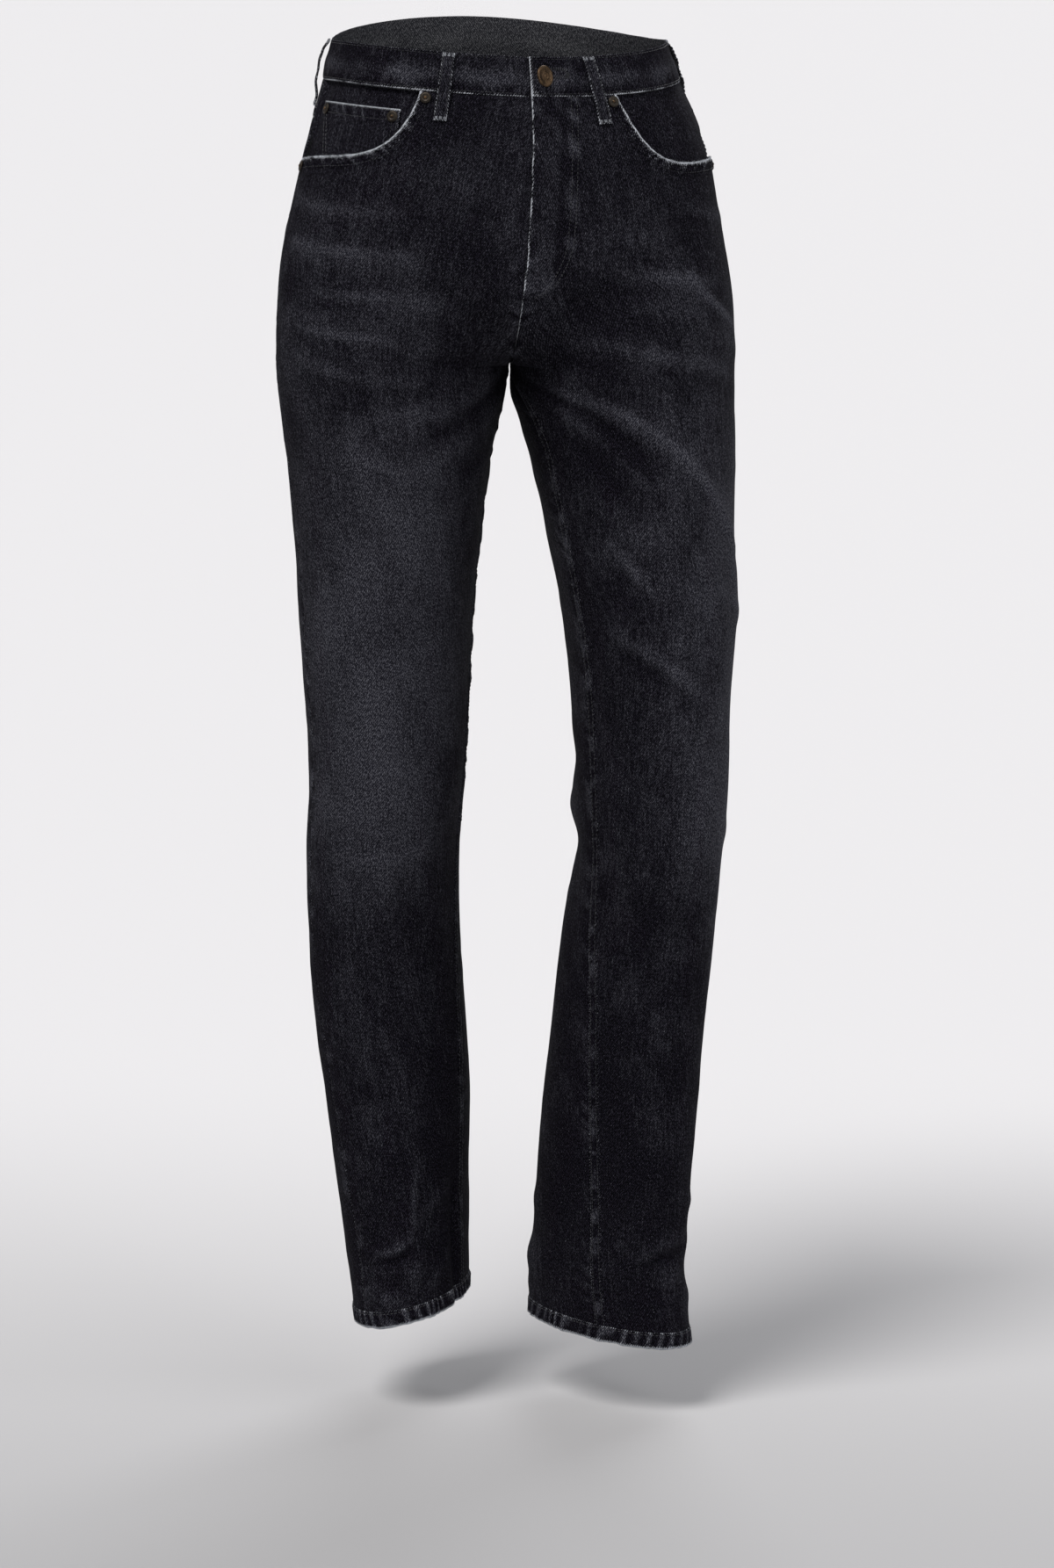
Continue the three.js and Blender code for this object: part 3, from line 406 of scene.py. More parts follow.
def arc_table(half):
    """Cloth from the side seam round to every angle, so that the weave lies true on the panels."""
    angles, rows = np.linspace(0, math.pi, 181), np.linspace(-0.2, 2.1, 116)
    a, t = np.meshgrid(angles, rows)
    steps = np.linalg.norm(np.diff(bare_point(half, a, t)[..., :2], axis=1), axis=-1)
    arc = np.concatenate([np.zeros((len(rows), 1)), np.cumsum(steps, axis=1)], axis=1)
    return arc - arc[:, 90:91]


ARCS = {half.side: arc_table(half) for half in (LEFT, RIGHT)}


def arc_at(half, angle, t):
    i = np.clip((t + 0.2) / 2.3 * 115, 0, 114.999)
    j = np.clip(angle / math.pi * 180, 0, 179.999)
    i0, j0 = i.astype(int), j.astype(int)
    u, v = i - i0, j - j0
    arc = ARCS[half.side]
    return mix(mix(arc[i0, j0], arc[i0, j0 + 1], v), mix(arc[i0 + 1, j0], arc[i0 + 1, j0 + 1], v), u)


def small_folds(half, angle, drop, across):
    """The cloth's slighter unevenness, which every layer at a place shares."""
    seed = 10 if half is LEFT else 20
    calm = smooth(np.sin(np.clip(angle, 0, math.pi)) / 0.3)
    loose = 0.35 + 0.65 * smooth((drop - 250) / 150) + 0.4 * smooth((drop - 900) / 80)
    height = 1.3 * soft_noise(across / 62, drop / 88, seed)
    height = height + 0.5 * soft_noise(across / 24, drop / 34, seed + 1)
    height = height * calm * loose + 0.12 * calm * soft_noise(across / 9, drop / 11, seed + 2)
    height = height + fold_height(angle, drop, half.creases, 6)
    by_inseam = np.minimum(angle, math.pi - angle) * LEG_RADIUS
    side = soft_noise(drop / 11, drop * 0, 31 + seed) * np.exp(-np.abs(across) / 9)
    side = side + 0.8 * soft_noise(drop / 26, drop * 0, 32 + seed) * np.exp(-np.abs(across) / 16)
    inseam = soft_noise(drop / 12, drop * 0, 33) * np.exp(-by_inseam / 10)
    inseam = inseam + 0.7 * soft_noise(drop / 30, drop * 0, 34) * np.exp(-by_inseam / 16)
    waist = np.maximum(drop - waist_drop(half, angle) - BAND_HEIGHT, 0)
    gathers = soft_noise(across / 6.5, drop / 60, seed + 5) * np.exp(-waist / 20) * (drop < 200)
    return height + 0.6 * side + 0.55 * inseam * smooth((drop - 70) / 40) + 0.4 * gathers


def wash_and_painted_light(half, angle, drop, across):
    """How far the wash has lightened a place: 0 for the cloth as a whole, 1 where it is palest. Along the
    folds it adds painted light: a painted highlight on the ridges and painted shade in the troughs.
    """
    degrees = np.degrees(angle)
    ridge, knee_drop = (70, 580) if half is LEFT else (53, 530)
    down = smooth((drop - 150) / 290) * (1 - 0.78 * smooth((drop - knee_drop) / 190))
    thigh = bell(np.where(degrees < ridge, degrees - ridge, 0.75 * (degrees - ridge)), 31) * down
    knee = 0.15 * bell(degrees - 60, 26) * bell(drop - 620, 60)
    seat = 0.85 * bell(degrees - 138, 24) * bell(drop - 215, 95)
    calf = 0.3 * bell(degrees - 140, 26) * smooth((drop - 300) / 150)
    lap = 0.14 * bell(degrees, 30) * bell(drop - 150, 90)
    seed = 40 if half is LEFT else 50
    cloud = 0.13 * soft_noise(across / 45, drop / 60, seed)
    cloud = cloud + 0.1 * soft_noise(across / 13, drop / 24, seed + 1)
    cloud = cloud + 0.07 * soft_noise(across / 5, drop / 60, seed + 2) - 0.2 * smooth((drop - 640) / 260)
    # Column 7 of the folds and creases: paler wear with a painted highlight on a ridge, and painted shade
    # darkening a trough.
    fold_wear_and_shade = fold_height(angle, drop, half.folds + half.creases, 7)
    return np.clip(0.84 * thigh - 0.03 + knee + seat + calf + lap + cloud + 1.9 * fold_wear_and_shade, -0.3, 1.15)


def lengths(points, axis):
    """Distance along a grid's lines from its first border, and to its last one."""
    steps = np.linalg.norm(np.diff(points, axis=axis), axis=-1)
    grown = np.cumsum(steps, axis=axis)
    pad = [(1, 0), (0, 0)] if axis == 0 else [(0, 0), (1, 0)]
    start = np.pad(grown, pad)
    total = start[-1:, :] if axis == 0 else start[:, -1:]
    return start, total - start


def quads(rows, columns, ring):
    """Faces of a closed wall over a grid: outer layer, inner layer and rims, with the count of outer ones."""
    wide = columns if ring else columns + 1
    i, j = np.meshgrid(np.arange(rows), np.arange(columns), indexing="ij")
    at = lambda layer, a, b: layer * (rows + 1) * wide + a * wide + b % wide
    outer = np.stack([at(0, i, j), at(0, i + 1, j), at(0, i + 1, j + 1), at(0, i, j + 1)], -1).reshape(-1, 4)
    inner = np.stack([at(1, i, j), at(1, i, j + 1), at(1, i + 1, j + 1), at(1, i + 1, j)], -1).reshape(-1, 4)
    c, r = np.arange(columns), np.arange(rows)
    top = np.stack([at(0, 0, c), at(0, 0, c + 1), at(1, 0, c + 1), at(1, 0, c)], -1)
    foot = np.stack([at(0, rows, c + 1), at(0, rows, c), at(1, rows, c), at(1, rows, c + 1)], -1)
    rims = [top, foot]
    if not ring:
        rims.append(np.stack([at(0, r + 1, 0), at(0, r, 0), at(1, r, 0), at(1, r + 1, 0)], -1))
        last = at(0, r, columns), at(0, r + 1, columns), at(1, r + 1, columns), at(1, r, columns)
        rims.append(np.stack(last, -1))
    return np.concatenate([outer, inner, *rims]), len(outer)


def new_object(name, points, faces, materials):
    """A smooth mesh object from points in millimetres, riding on the garment."""
    mesh = bpy.data.meshes.new(name)
    mesh.from_pydata((np.asarray(points) * 0.001).tolist(), [], [list(map(int, f)) for f in faces])
    mesh.polygons.foreach_set("use_smooth", [True] * len(mesh.polygons))
    mesh.set_sharp_from_angle(angle=math.radians(50))
    piece = bpy.data.objects.new(name, mesh)
    bpy.context.scene.collection.objects.link(piece)
    for material in materials:
        mesh.materials.append(material)
    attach(piece, "root")
    return piece


def add_values(mesh, name, values):
    values = np.asarray(values, float)
    kind = "FLOAT" if values.ndim == 1 else "FLOAT_VECTOR"
    held = mesh.attributes.new(name, kind, "POINT")
    held.data.foreach_set("value" if kind == "FLOAT" else "vector", values.ravel())


def sewn_piece(name, points, normals, outer, inner, grain, fade, wear, node=None, ring=False):
    """A closed wall of cloth in its node's place. Returns the object, and its outer face and that face's
    normals for the sewing."""
    rows, columns = points.shape[0] - 1, points.shape[1] - (0 if ring else 1)
    face = points + normals * outer[..., None]
    back = points + normals * inner[..., None]
    faces, outer_count = quads(rows, columns, ring)
    all_points = np.concatenate([face.reshape(-1, 3), back.reshape(-1, 3)])
    a, b, c, d = (all_points[faces[:, k]] for k in range(4))
    if np.sum(a * (np.cross(b, c) + np.cross(c, d))) < 0:
        faces = faces[:, ::-1]
    piece = new_object(f"{name}_denim", all_points, faces, [DENIM, DENIM_BACK])
    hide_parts(node or name)
    index = np.zeros(len(faces), int)
    index[outer_count: outer_count * 2] = 1
    piece.data.polygons.foreach_set("material_index", index)
    add_values(piece.data, "grain", np.concatenate([grain.reshape(-1, 3)] * 2) * 0.001)
    # The fade values carry the wash, and along the folds a painted highlight on the ridges and painted shade
    # in the troughs.
    add_values(piece.data, "fade", np.concatenate([fade.ravel()] * 2))
    add_values(piece.data, "wear", np.concatenate([wear.ravel(), wear.ravel() * 0.4]))
    piece.data.update()
    stand = unit(np.cross(np.gradient(face, axis=0), np.gradient(face, axis=1)))
    return piece, (face, stand * np.sign(np.sum(stand * normals)))


def edge_roll(distance, depth=0.5, width=1.3):
    """A sewn or folded edge turns down to its seam."""
    return -depth * bell(distance, width)


FELL = 8.4  # width of a felled seam
FELL_ROWS = (1.9, 8.1)  # its rows of stitches, from the seam


def felled(distance, width=FELL, rise=0.8):
    """The band of doubled cloth beside a felled seam, with a groove at each of its rows of stitches."""
    band = rise * (1 - smooth((distance - width - 0.2) / 1.6))
    grooves = bell(distance - 1.7, 0.8) + bell(distance - width + 0.8, 0.8)
    return band - 0.4 * grooves


def roping(along, distance, width, seed, pitch=7.0):
    """The small puckers that a wash leaves between two rows of stitches."""
    lively = bell(distance - width / 2, width * 0.55)
    slant = along + distance * 0.5
    return lively * soft_noise(slant / pitch, along * 0, seed)


def beside(half, angle, t, offset_x, offset_y):
    """Pattern places at an offset, in millimetres of cloth across and down, from some others."""
    goal_x, goal_y = arc_at(half, angle, t) + offset_x, place(half, angle, t)[0] + offset_y
    for _ in range(6):
        x, y = arc_at(half, angle, t), place(half, angle, t)[0]
        x_a, y_a = arc_at(half, angle + 0.01, t) - x, place(half, angle + 0.01, t)[0] - y
        x_t, y_t = arc_at(half, angle, t + 0.01) - x, place(half, angle, t + 0.01)[0] - y
        det = x_a * y_t - x_t * y_a
        dx, dy = goal_x - x, goal_y - y
        angle = angle + 0.01 * (dx * y_t - dy * x_t) / det
        t = t + 0.01 * (dy * x_a - dx * y_a) / det
    return angle, t


def from_line(points, line):
    """Distance from each point of a grid to the nearest of a close row of points."""
    flat = points.reshape(-1, 3)
    near = np.full(len(flat), 1e9)
    for k in range(0, len(line), 40):
        part = np.linalg.norm(flat[:, None] - line[None, k:k + 40], axis=-1).min(axis=1)
        near = np.minimum(near, part)
    return near.reshape(points.shape[:-1])


def piece_places(half, angle, t):
    points, normals = bare_point(half, angle, t), outward(half, angle, t)
    drop = place(half, angle, t)[0]
    across = arc_at(half, angle, t)
    height = fold_height(angle, drop, half.folds, 6) + small_folds(half, angle, drop, across)
    grain = np.stack([across * half.side, -drop, np.zeros_like(drop)], axis=-1)
    return points, normals, height, drop, across, grain, wash_and_painted_light(half, angle, drop, across)


ALL_ROUND = [(0, 0), (0, 1), (1, 0), (1, 1)]


def drawn_in(points, borders):
    """A grid's points, kept back from the seam line at its first (0) or last (1) row (0) or column (1)."""
    moved = points.copy()
    for axis, end in borders:
        grid = moved if axis == 0 else moved.swapaxes(0, 1)
        edge, inside = (grid[0], grid[1]) if end == 0 else (grid[-1], grid[-2])
        along = np.gradient(edge, axis=0)
        way = inside - edge
        way = way - along * (np.sum(way * along, -1) / np.maximum(np.sum(along * along, -1), 1e-9))[:, None]
        edge += unit(way) * EDGE_GAP
    return moved


def dense_ends(count, width, first, last):
    """Shares from 0 to 1 in steps of width / count, with the given distances added at each end."""
    middle = np.linspace(max(first) / width, 1 - max(last) / width, count)
    return np.concatenate([np.array(first) / width, middle[1:-1], 1 - np.array(last)[::-1] / width])


def pattern_drop(angle, millimetres):
    front = angle < SIDE_SEAM
    edge = (rise_edge(front, STRAIGHT_RISE)[0] - rise_edge(front, 0.0)[0]) / STRAIGHT_RISE
    return millimetres / mix(SIDE_CROTCH_DROP - BAND_HEIGHT, edge, np.cos(angle) ** 2)


def pocket_mouth(half, share):
    across = share**1.6
    angle = mix(math.radians(half.mouth_start), SIDE_SEAM, across)
    turned = (1 - (1 - across) ** half.mouth_turn) ** half.mouth_corner
    return angle, pattern_drop(angle, POCKET_DEPTH * mix(turned, across, half.mouth_slope))


# The denim's finish: a black warp over a grey weft in a steep twill, washed down to grey where it stands
# proud, with pale flecks and slubs, and nearly white where a fold or an edge has worn through. Its fade
# attribute also brings painted shade into the folds' troughs and a painted highlight onto their ridges.
def add_node(tree, kind, **settings):
    node = tree.nodes.new(kind)
    for key, value in settings.items():
        if key in node.inputs:
            node.inputs[key].default_value = value
        else:
            setattr(node, key, value)
    return node


def calc(tree, operation, a, b):
    """A Math node on two sockets or numbers."""
    node = add_node(tree, "ShaderNodeMath", operation=operation)
    for socket, value in zip(node.inputs, (a, b)):
        if isinstance(value, (int, float)):
            socket.default_value = value
        else:
            tree.links.new(value, socket)
    return node.outputs[0]


def ramp_between(tree, value, low, high, start=0.0, end=1.0):
    node = add_node(tree, "ShaderNodeMapRange", interpolation_type="SMOOTHSTEP")
    tree.links.new(value, node.inputs["Value"])
    for socket, number in zip(("From Min", "From Max", "To Min", "To Max"), (low, high, start, end)):
        node.inputs[socket].default_value = number
    return node.outputs["Result"]


def blend(tree, share, first, second):
    node = add_node(tree, "ShaderNodeMix", data_type="RGBA")
    for socket, value in zip((node.inputs[0], node.inputs[6], node.inputs[7]), (share, first, second)):
        if isinstance(value, (tuple, float, int)):
            socket.default_value = value if isinstance(value, (float, int)) else (*value, 1)
        else:
            tree.links.new(value, socket)
    return node.outputs[2]


def noise_on(tree, vector, scale, stretch=(1, 1, 1), turn=0.0, detail=2.0, roughness=0.5):
    mapping = add_node(tree, "ShaderNodeMapping")
    mapping.inputs["Rotation"].default_value = (0, 0, turn)
    mapping.inputs["Scale"].default_value = stretch
    tree.links.new(vector, mapping.inputs["Vector"])
    noise = add_node(tree, "ShaderNodeTexNoise", Scale=scale, Detail=detail, Roughness=roughness)
    tree.links.new(mapping.outputs["Vector"], noise.inputs["Vector"])
    return noise.outputs["Fac"]


TWILL_TURN = math.radians(52)  # of the twill's lines from the level
TWILL_PITCH = 0.00145


def new_finish(name):
    material = bpy.data.materials.new(name)
    material.use_nodes = True
    return material, material.node_tree, material.node_tree.nodes["Principled BSDF"]


def raised(tree, shader, height, strength, distance):
    bump = add_node(tree, "ShaderNodeBump", Strength=strength, Distance=distance)
    tree.links.new(height, bump.inputs["Height"])
    tree.links.new(bump.outputs["Normal"], shader.inputs["Normal"])


def denim(name, dark, light, fleck, pale_fleck, worn):
    material, tree, shader = new_finish(name)
    held = lambda value, kind: add_node(tree, "ShaderNodeAttribute", attribute_name=value).outputs[kind]
    grain, fade, wear = held("grain", "Vector"), held("fade", "Fac"), held("wear", "Fac")
    turned = add_node(tree, "ShaderNodeMapping")
    turned.inputs["Rotation"].default_value = (0, 0, math.pi / 2 - TWILL_TURN)
    tree.links.new(grain, turned.inputs["Vector"])
    wave = add_node(tree, "ShaderNodeTexWave", Scale=math.tau / 20 / TWILL_PITCH, Distortion=3.0, Detail=2.0)
    wave.inputs["Detail Scale"].default_value = 1.6
    tree.links.new(turned.outputs["Vector"], wave.inputs["Vector"])
    twill = wave.outputs["Fac"]
    add = lambda value, share, other: calc(tree, "ADD", calc(tree, "MULTIPLY", value, share), other)
    off = lambda value, level: calc(tree, "SUBTRACT", value, level)
    yarns = noise_on(tree, grain, 620, (1.5, 0.75, 1), math.pi / 2 - TWILL_TURN, 3, 0.75)
    grit = noise_on(tree, grain, 900, detail=1)
    slubs = noise_on(tree, grain, 300, (2.2, 0.16, 1), 0, 2, 0.6)
    mottle = noise_on(tree, grain, 190, (1, 0.8, 1), 0.4, 3, 0.65)
    clouds = noise_on(tree, grain, 24, (1, 0.7, 1), 0, 3, 0.55)
    specks = add(twill, 0.08, add(grit, 0.26, add(yarns, 0.66, 0.0)))
    uneven = add(clouds, 0.35, add(slubs, 0.5, add(mottle, 0.35, 0.0)))
    washed_and_shaded = add(off(uneven, 0.6), 3.0, fade)
    level = ramp_between(tree, washed_and_shaded, -0.32, 1.22)
    ground = blend(tree, level, dark, light)
    yarn_colour = blend(tree, level, fleck, pale_fleck)
    cloth = blend(tree, ramp_between(tree, specks, 0.475, 0.585), ground, yarn_colour)
    worn_at = add(off(twill, 0.5), 0.25, add(off(specks, 0.5), 2.0, wear))
    cloth = blend(tree, ramp_between(tree, worn_at, 0.3, 0.95), cloth, worn)
    tree.links.new(cloth, shader.inputs["Base Color"])
    shader.inputs["Roughness"].default_value = 0.9
    shader.inputs["Specular IOR Level"].default_value = 0.05
    raised(tree, shader, add(twill, 0.5, yarns), 0.7, 0.0004)
    return material


DENIM = denim("washed_black_denim", (0.0007, 0.0006, 0.0014), (0.0122, 0.0122, 0.0178),
              (0.0135, 0.0118, 0.0188), (0.098, 0.0985, 0.115), (0.46, 0.48, 0.52))
DENIM_BACK = denim("denim_reverse", (0.02, 0.0205, 0.025), (0.05, 0.052, 0.058),
                   (0.12, 0.12, 0.13), (0.2, 0.2, 0.21), (0.4, 0.41, 0.43))


# Topstitching: spun polyester thread in black, about 0.45 mm thick, at eight stitches to the inch.
def plain_finish(name, colour, roughness, metallic=0.0, grain=0.0):
    material, tree, shader = new_finish(name)
    place_on = add_node(tree, "ShaderNodeTexCoord").outputs["Object"]
    fine = noise_on(tree, place_on, 900, detail=2)
    broad = noise_on(tree, place_on, 160, detail=3)
    share = calc(tree, "ADD", calc(tree, "MULTIPLY", fine, 0.5), calc(tree, "MULTIPLY", broad, 0.5))
    shaded = blend(tree, ramp_between(tree, share, 0.35, 0.68), tuple(c * (1 - grain) for c in colour),
                   tuple(min(1, c * (1 + grain)) for c in colour))
    tree.links.new(shaded, shader.inputs["Base Color"])
    tree.links.new(ramp_between(tree, broad, 0.3, 0.7, roughness - 0.08, roughness + 0.1),
                   shader.inputs["Roughness"])
    shader.inputs["Metallic"].default_value = metallic
    raised(tree, shader, fine, 0.3, 0.0002)
    return material


THREAD = plain_finish("black_thread", (0.02, 0.021, 0.025), 0.6, grain=0.5)
WORN_THREAD = plain_finish("worn_cotton", (0.26, 0.275, 0.30), 0.85, grain=0.35)
STITCH, STITCH_GAP, THREAD_RADIUS = 2.5, 0.75, 0.27
SHORTEST_ROW = 4


def line_beside(face, axis, end, offset, start=0.0, stop=1.0):
    """Points and normals on a piece's face at a distance from its first (0) or last (1) row or column."""
    grid, normals = face
    if axis == 1:
        grid, normals = grid.swapaxes(0, 1), normals.swapaxes(0, 1)
    if end == 1:
        grid, normals = grid[::-1], normals[::-1]
    steps = np.linalg.norm(np.diff(grid[:30], axis=0), axis=-1)
    reached = np.pad(np.cumsum(steps, axis=0), [(1, 0), (0, 0)])
    found, count = [], grid.shape[1]
    for j in range(int(start * (count - 1)), int(math.ceil(stop * (count - 1))) + 1):
        k = np.interp(offset, reached[:, j], np.arange(len(reached)))
        i = min(int(k), len(reached) - 2)
        pair = [mix(g[i, j], g[i + 1, j], k - i) for g in (grid, normals)]
        found.append(pair)
    return np.array([p for p, _ in found]), unit(np.array([n for _, n in found]))


def along_line(points):
    return np.concatenate([[0], np.cumsum(np.linalg.norm(np.diff(points, axis=0), axis=-1))])


def read_at(at, length, values):
    return np.stack([np.interp(at, length, values[:, k]) for k in range(3)], -1)


def stitches(line, seams):
    """Adds a row of stitches along a line of points and normals to a list of points and faces."""
    points, normals = line
    length = along_line(points)
    if length[-1] < SHORTEST_ROW:
        return
    count = max(1, int(length[-1] / (STITCH + STITCH_GAP)))
    pitch = length[-1] / count
    starts = np.arange(count) * pitch
    stations = np.array([0.0, 0.22, 0.78, 1.0])
    lift = np.array([-0.22, 0.16, 0.16, -0.22])
    size = np.array([0.55, 1.0, 1.0, 0.55]) * THREAD_RADIUS
    at = starts[:, None] + stations[None] * (pitch - STITCH_GAP)
    centre, normal = read_at(at, length, points), unit(read_at(at, length, normals))
    along = unit(centre[:, -1] - centre[:, 0])[:, None]
    aside = unit(np.cross(normal, along))
    centre = centre + normal * lift[None, :, None]
    corners = [aside, normal, -aside, -normal]
    ring = np.stack([centre + c * size[None, :, None] for c in corners], 2)
    i = np.arange(count)[:, None, None] * 16
    k, c = np.arange(3)[None, :, None] * 4, np.arange(4)[None, None]
    after = (c + 1) % 4
    sides = np.stack(np.broadcast_arrays(i + k + c, i + k + after, i + k + 4 + after, i + k + 4 + c), -1)
    first = np.arange(count)[:, None] * 16 + np.array([[3, 2, 1, 0]])
    last = np.arange(count)[:, None] * 16 + np.array([[12, 13, 14, 15]])
    seams.append((ring.reshape(-1, 3), np.concatenate([sides.reshape(-1, 4), first, last])))


def thread_object(name, seams, finish=THREAD):
    points = np.concatenate([p for p, _ in seams])
    starts = np.cumsum([0] + [len(p) for p, _ in seams])
    faces = np.concatenate([f + start for (_, f), start in zip(seams, starts)])
    piece = new_object(name, points, faces, [finish])
    return piece


def frayed(line, seams, out_way, every, reach, seed, radius=0.075):
    """Loose cotton fibres that stand out of a worn edge."""
    points, normals = line
    length = along_line(points)
    chance = np.random.default_rng(seed)
    count = int(length[-1] / every)
    at = np.sort(chance.uniform(0, length[-1], count))
    root, normal = read_at(at, length, points), unit(read_at(at, length, normals))
    tangent = unit(read_at(at, length, np.gradient(points, axis=0)))
    out = unit(np.cross(normal, tangent)) * out_way
    size = chance.uniform(*reach, count)[:, None]
    lean, lift = chance.normal(0, 0.8, (count, 1)), chance.normal(0.1, 0.35, (count, 1))
    way = unit(out + tangent * lean + normal * lift)
    bend = way + tangent * chance.normal(0, 0.9, (count, 1))
    bend = unit(bend + normal * chance.normal(0, 0.5, (count, 1)))
    middle = root + way * size * 0.55
    tip = middle + bend * size * 0.45
    side_a = unit(np.cross(way, normal)) * radius
    side_b = unit(np.cross(way, side_a)) * radius
    turns = [side_a, -0.5 * side_a + 0.87 * side_b, -0.5 * side_a - 0.87 * side_b]
    along = ((root - way * 0.3, 1), (middle, 0.85), (tip, 0.3))
    fibres = np.concatenate([np.stack([p + s * scale for s in turns], 1) for p, scale in along], 1)
    i, c = np.arange(count)[:, None] * 9, np.arange(3)[None]
    after = (c + 1) % 3
    faces = [np.stack([i + k + c, i + k + after, i + k + 3 + after, i + k + 3 + c], -1) for k in (0, 3)]
    seams.append((fibres.reshape(-1, 3), np.concatenate(faces).reshape(-1, 4)))


# Distances from a border at which a panel's grid has a line of its own.
EDGE_STEPS = [0, 0.6, 1.3, 2.1, 3.0, 4.2, 5.6, 7.0, 8.0, 8.8, 9.6, 10.6, 12.5]
SHORT_STEPS = [0, 0.6, 1.4, 2.6, 4.4, 7.0]
POCKET_END = float(pattern_drop(np.array(SIDE_SEAM), POCKET_DEPTH))
LEG_ROWS = np.concatenate([[0, 0.0006, 0.0014], np.linspace(0.003, 0.997, 372), [0.9986, 0.9994, 1]])
MOUTH_ROWS = 56
MOUTH_FELL = 8.8
FLY_END = 0.525  # pattern place at which the fly ends and the centre seam is felled


def mouth_puckers(across, drop, distance):
    return roping(across * 1.2 + drop, distance, 9, 62, 2.6) * (distance < 40)


for half in (LEFT, RIGHT):
    mouth_rows = np.linspace(0, 1, MOUTH_ROWS + 1)[:-1]
    columns, rows = dense_ends(46, 205, EDGE_STEPS, EDGE_STEPS), np.concatenate([mouth_rows, 1 + LEG_ROWS])
    share, down = np.meshgrid(columns, rows)
    mouth_angle, mouth_t = pocket_mouth(half, np.clip(down, 0, 1))
    angle = np.where(down < 1, share * mouth_angle, share * SIDE_SEAM)
    t_top = mix(POCKET_END * down, mouth_t, share**1.5)
    t = np.where(down < 1, t_top, mix(POCKET_END, 2, np.clip(down - 1, 0, 1)))
    points, normals, height, drop, across, grain, fade = piece_places(half, angle, t)
    from_centre, from_side = lengths(points, 1)
    from_waist = lengths(points, 0)[0]
    points = drawn_in(points, ALL_ROUND)
    on_fell = smooth((t - FLY_END) / 0.02)
    mouth = pocket_mouth(half, np.linspace(0, 1, 400))
    by_mouth = np.full(points.shape[:2], 99.0)
    by_mouth[:MOUTH_ROWS + 40] = from_line(points[:MOUTH_ROWS + 40], bare_point(half, *mouth))
    puckers = mouth_puckers(across, drop, by_mouth)
    ropes = roping(drop, from_centre, FELL, 61, 4.8) * on_fell
    lapped = 1.0 if half is LEFT else smooth((t - 0.98) / 0.02)
    height = height + edge_roll(from_centre) * on_fell + edge_roll(from_side, 0.45) + edge_roll(from_waist)
    below = (down >= 1) * 1.0
    height = height + felled(from_centre) * on_fell * lapped + 0.8 * ropes
    height = height + felled(by_mouth, MOUTH_FELL) + 1.2 * puckers
    ragged = 1 + 0.45 * soft_noise((across + drop) / 3, drop * 0, 87)
    wear = 0.98 * ragged * bell(by_mouth, 2.0) + 0.22 * bell(from_side, 0.9) * below
    lap_wear = mix(0.8 if half is LEFT else 0.1, 0.3, smooth((t - 1.0) / 0.03))
    wear = wear + (lap_wear * bell(from_centre, 0.8) + 0.12 * bell(from_centre - 9.4, 1.2)) * on_fell
    wear = wear + 0.3 * np.maximum(puckers, 0)
    side_ropes = roping(drop, from_side, 7, 88, 6) * below
    fade = fade + 1.2 * ropes + 0.7 * puckers + 0.6 * side_ropes - 0.22 * bell(by_mouth - 6, 4)
    height = height + 0.5 * side_ropes
    piece, face = sewn_piece(f"front_{half.name}", points, normals, height, height - CLOTH, grain, fade, wear)
    mouth_face = [g[:MOUTH_ROWS + 1] for g in face]
    leg_face = [g[MOUTH_ROWS:] for g in face]
    seams, fray = [], []
    line_angle, line_t = pocket_mouth(half, np.linspace(0.02, 1, 240))
    way_x = np.gradient(arc_at(half, line_angle, line_t))
    way_y = np.gradient(place(half, line_angle, line_t)[0])
    size = np.hypot(way_x, way_y)
    for offset in FELL_ROWS:
        a, b = beside(half, line_angle, line_t, -way_y / size * offset, way_x / size * offset)
        keep = (b > 0.004) & (a < SIDE_SEAM - 0.004)
        a, b = a[keep], b[keep]
        p, n, h, d, x, *_ = piece_places(half, a, b)
        lift = h + 0.38 + 1.2 * mouth_puckers(x, d, np.full_like(d, offset))
        stitches((p + n * lift[:, None], n), seams)
        stitches(line_beside(leg_face, 1, 0, offset, 0.5 if half is RIGHT else 0.34, 1), seams)
    frayed(line_beside(mouth_face, 1, 1, 0.1, 0.03, 1), fray, -half.side, 0.5, (0.6, 1.5), 71)
    sewing = thread_object(f"stitches_front_{half.name}", seams)
    fibres = thread_object(f"fray_mouth_{half.name}", fray, WORN_THREAD)

# Pocket facings: the cloth that shows in each front pocket's mouth, sewn in behind the panel. It is the same
# denim, cut to the side seam, and lies flush with it above the mouth.
FACING_TUCK = 12
COIN_CLOTH = 1.0
FACING_DEPTH = {LEFT: CLOTH + LAY_GAP, RIGHT: CLOTH + LAY_GAP + COIN_CLOTH + LAY_GAP}
for half in (LEFT, RIGHT):
    start = math.radians(half.mouth_start - FACING_TUCK / DEGREE_MM)
    share, down = np.meshgrid(dense_ends(66, 120, [0], SHORT_STEPS), np.linspace(0, 1, 44))
    angle = mix(start, SIDE_SEAM, share)
    t = pattern_drop(angle, POCKET_DEPTH + FACING_TUCK) * down
    points, normals, height, _, _, grain, fade = piece_places(half, angle, t)
    from_side = lengths(points, 1)[1]
    points = drawn_in(points, [(0, 0), (1, 1)])
    above_mouth = smooth((POCKET_DEPTH - down * (POCKET_DEPTH + FACING_TUCK) - 10) / 14)
    flush = above_mouth * (1 - smooth((from_side - 3) / 10))
    height = height - FACING_DEPTH[half] * (1 - 0.96 * flush) + edge_roll(from_side, 0.4)
    wear = 0.3 * bell(from_side, 0.9)
    fade = fade * 0.8
    piece, _ = sewn_piece(f"facing_{half.name}", points, normals, height, height - CLOTH, grain, fade, wear,
                          f"pocket_facing_{half.name}")

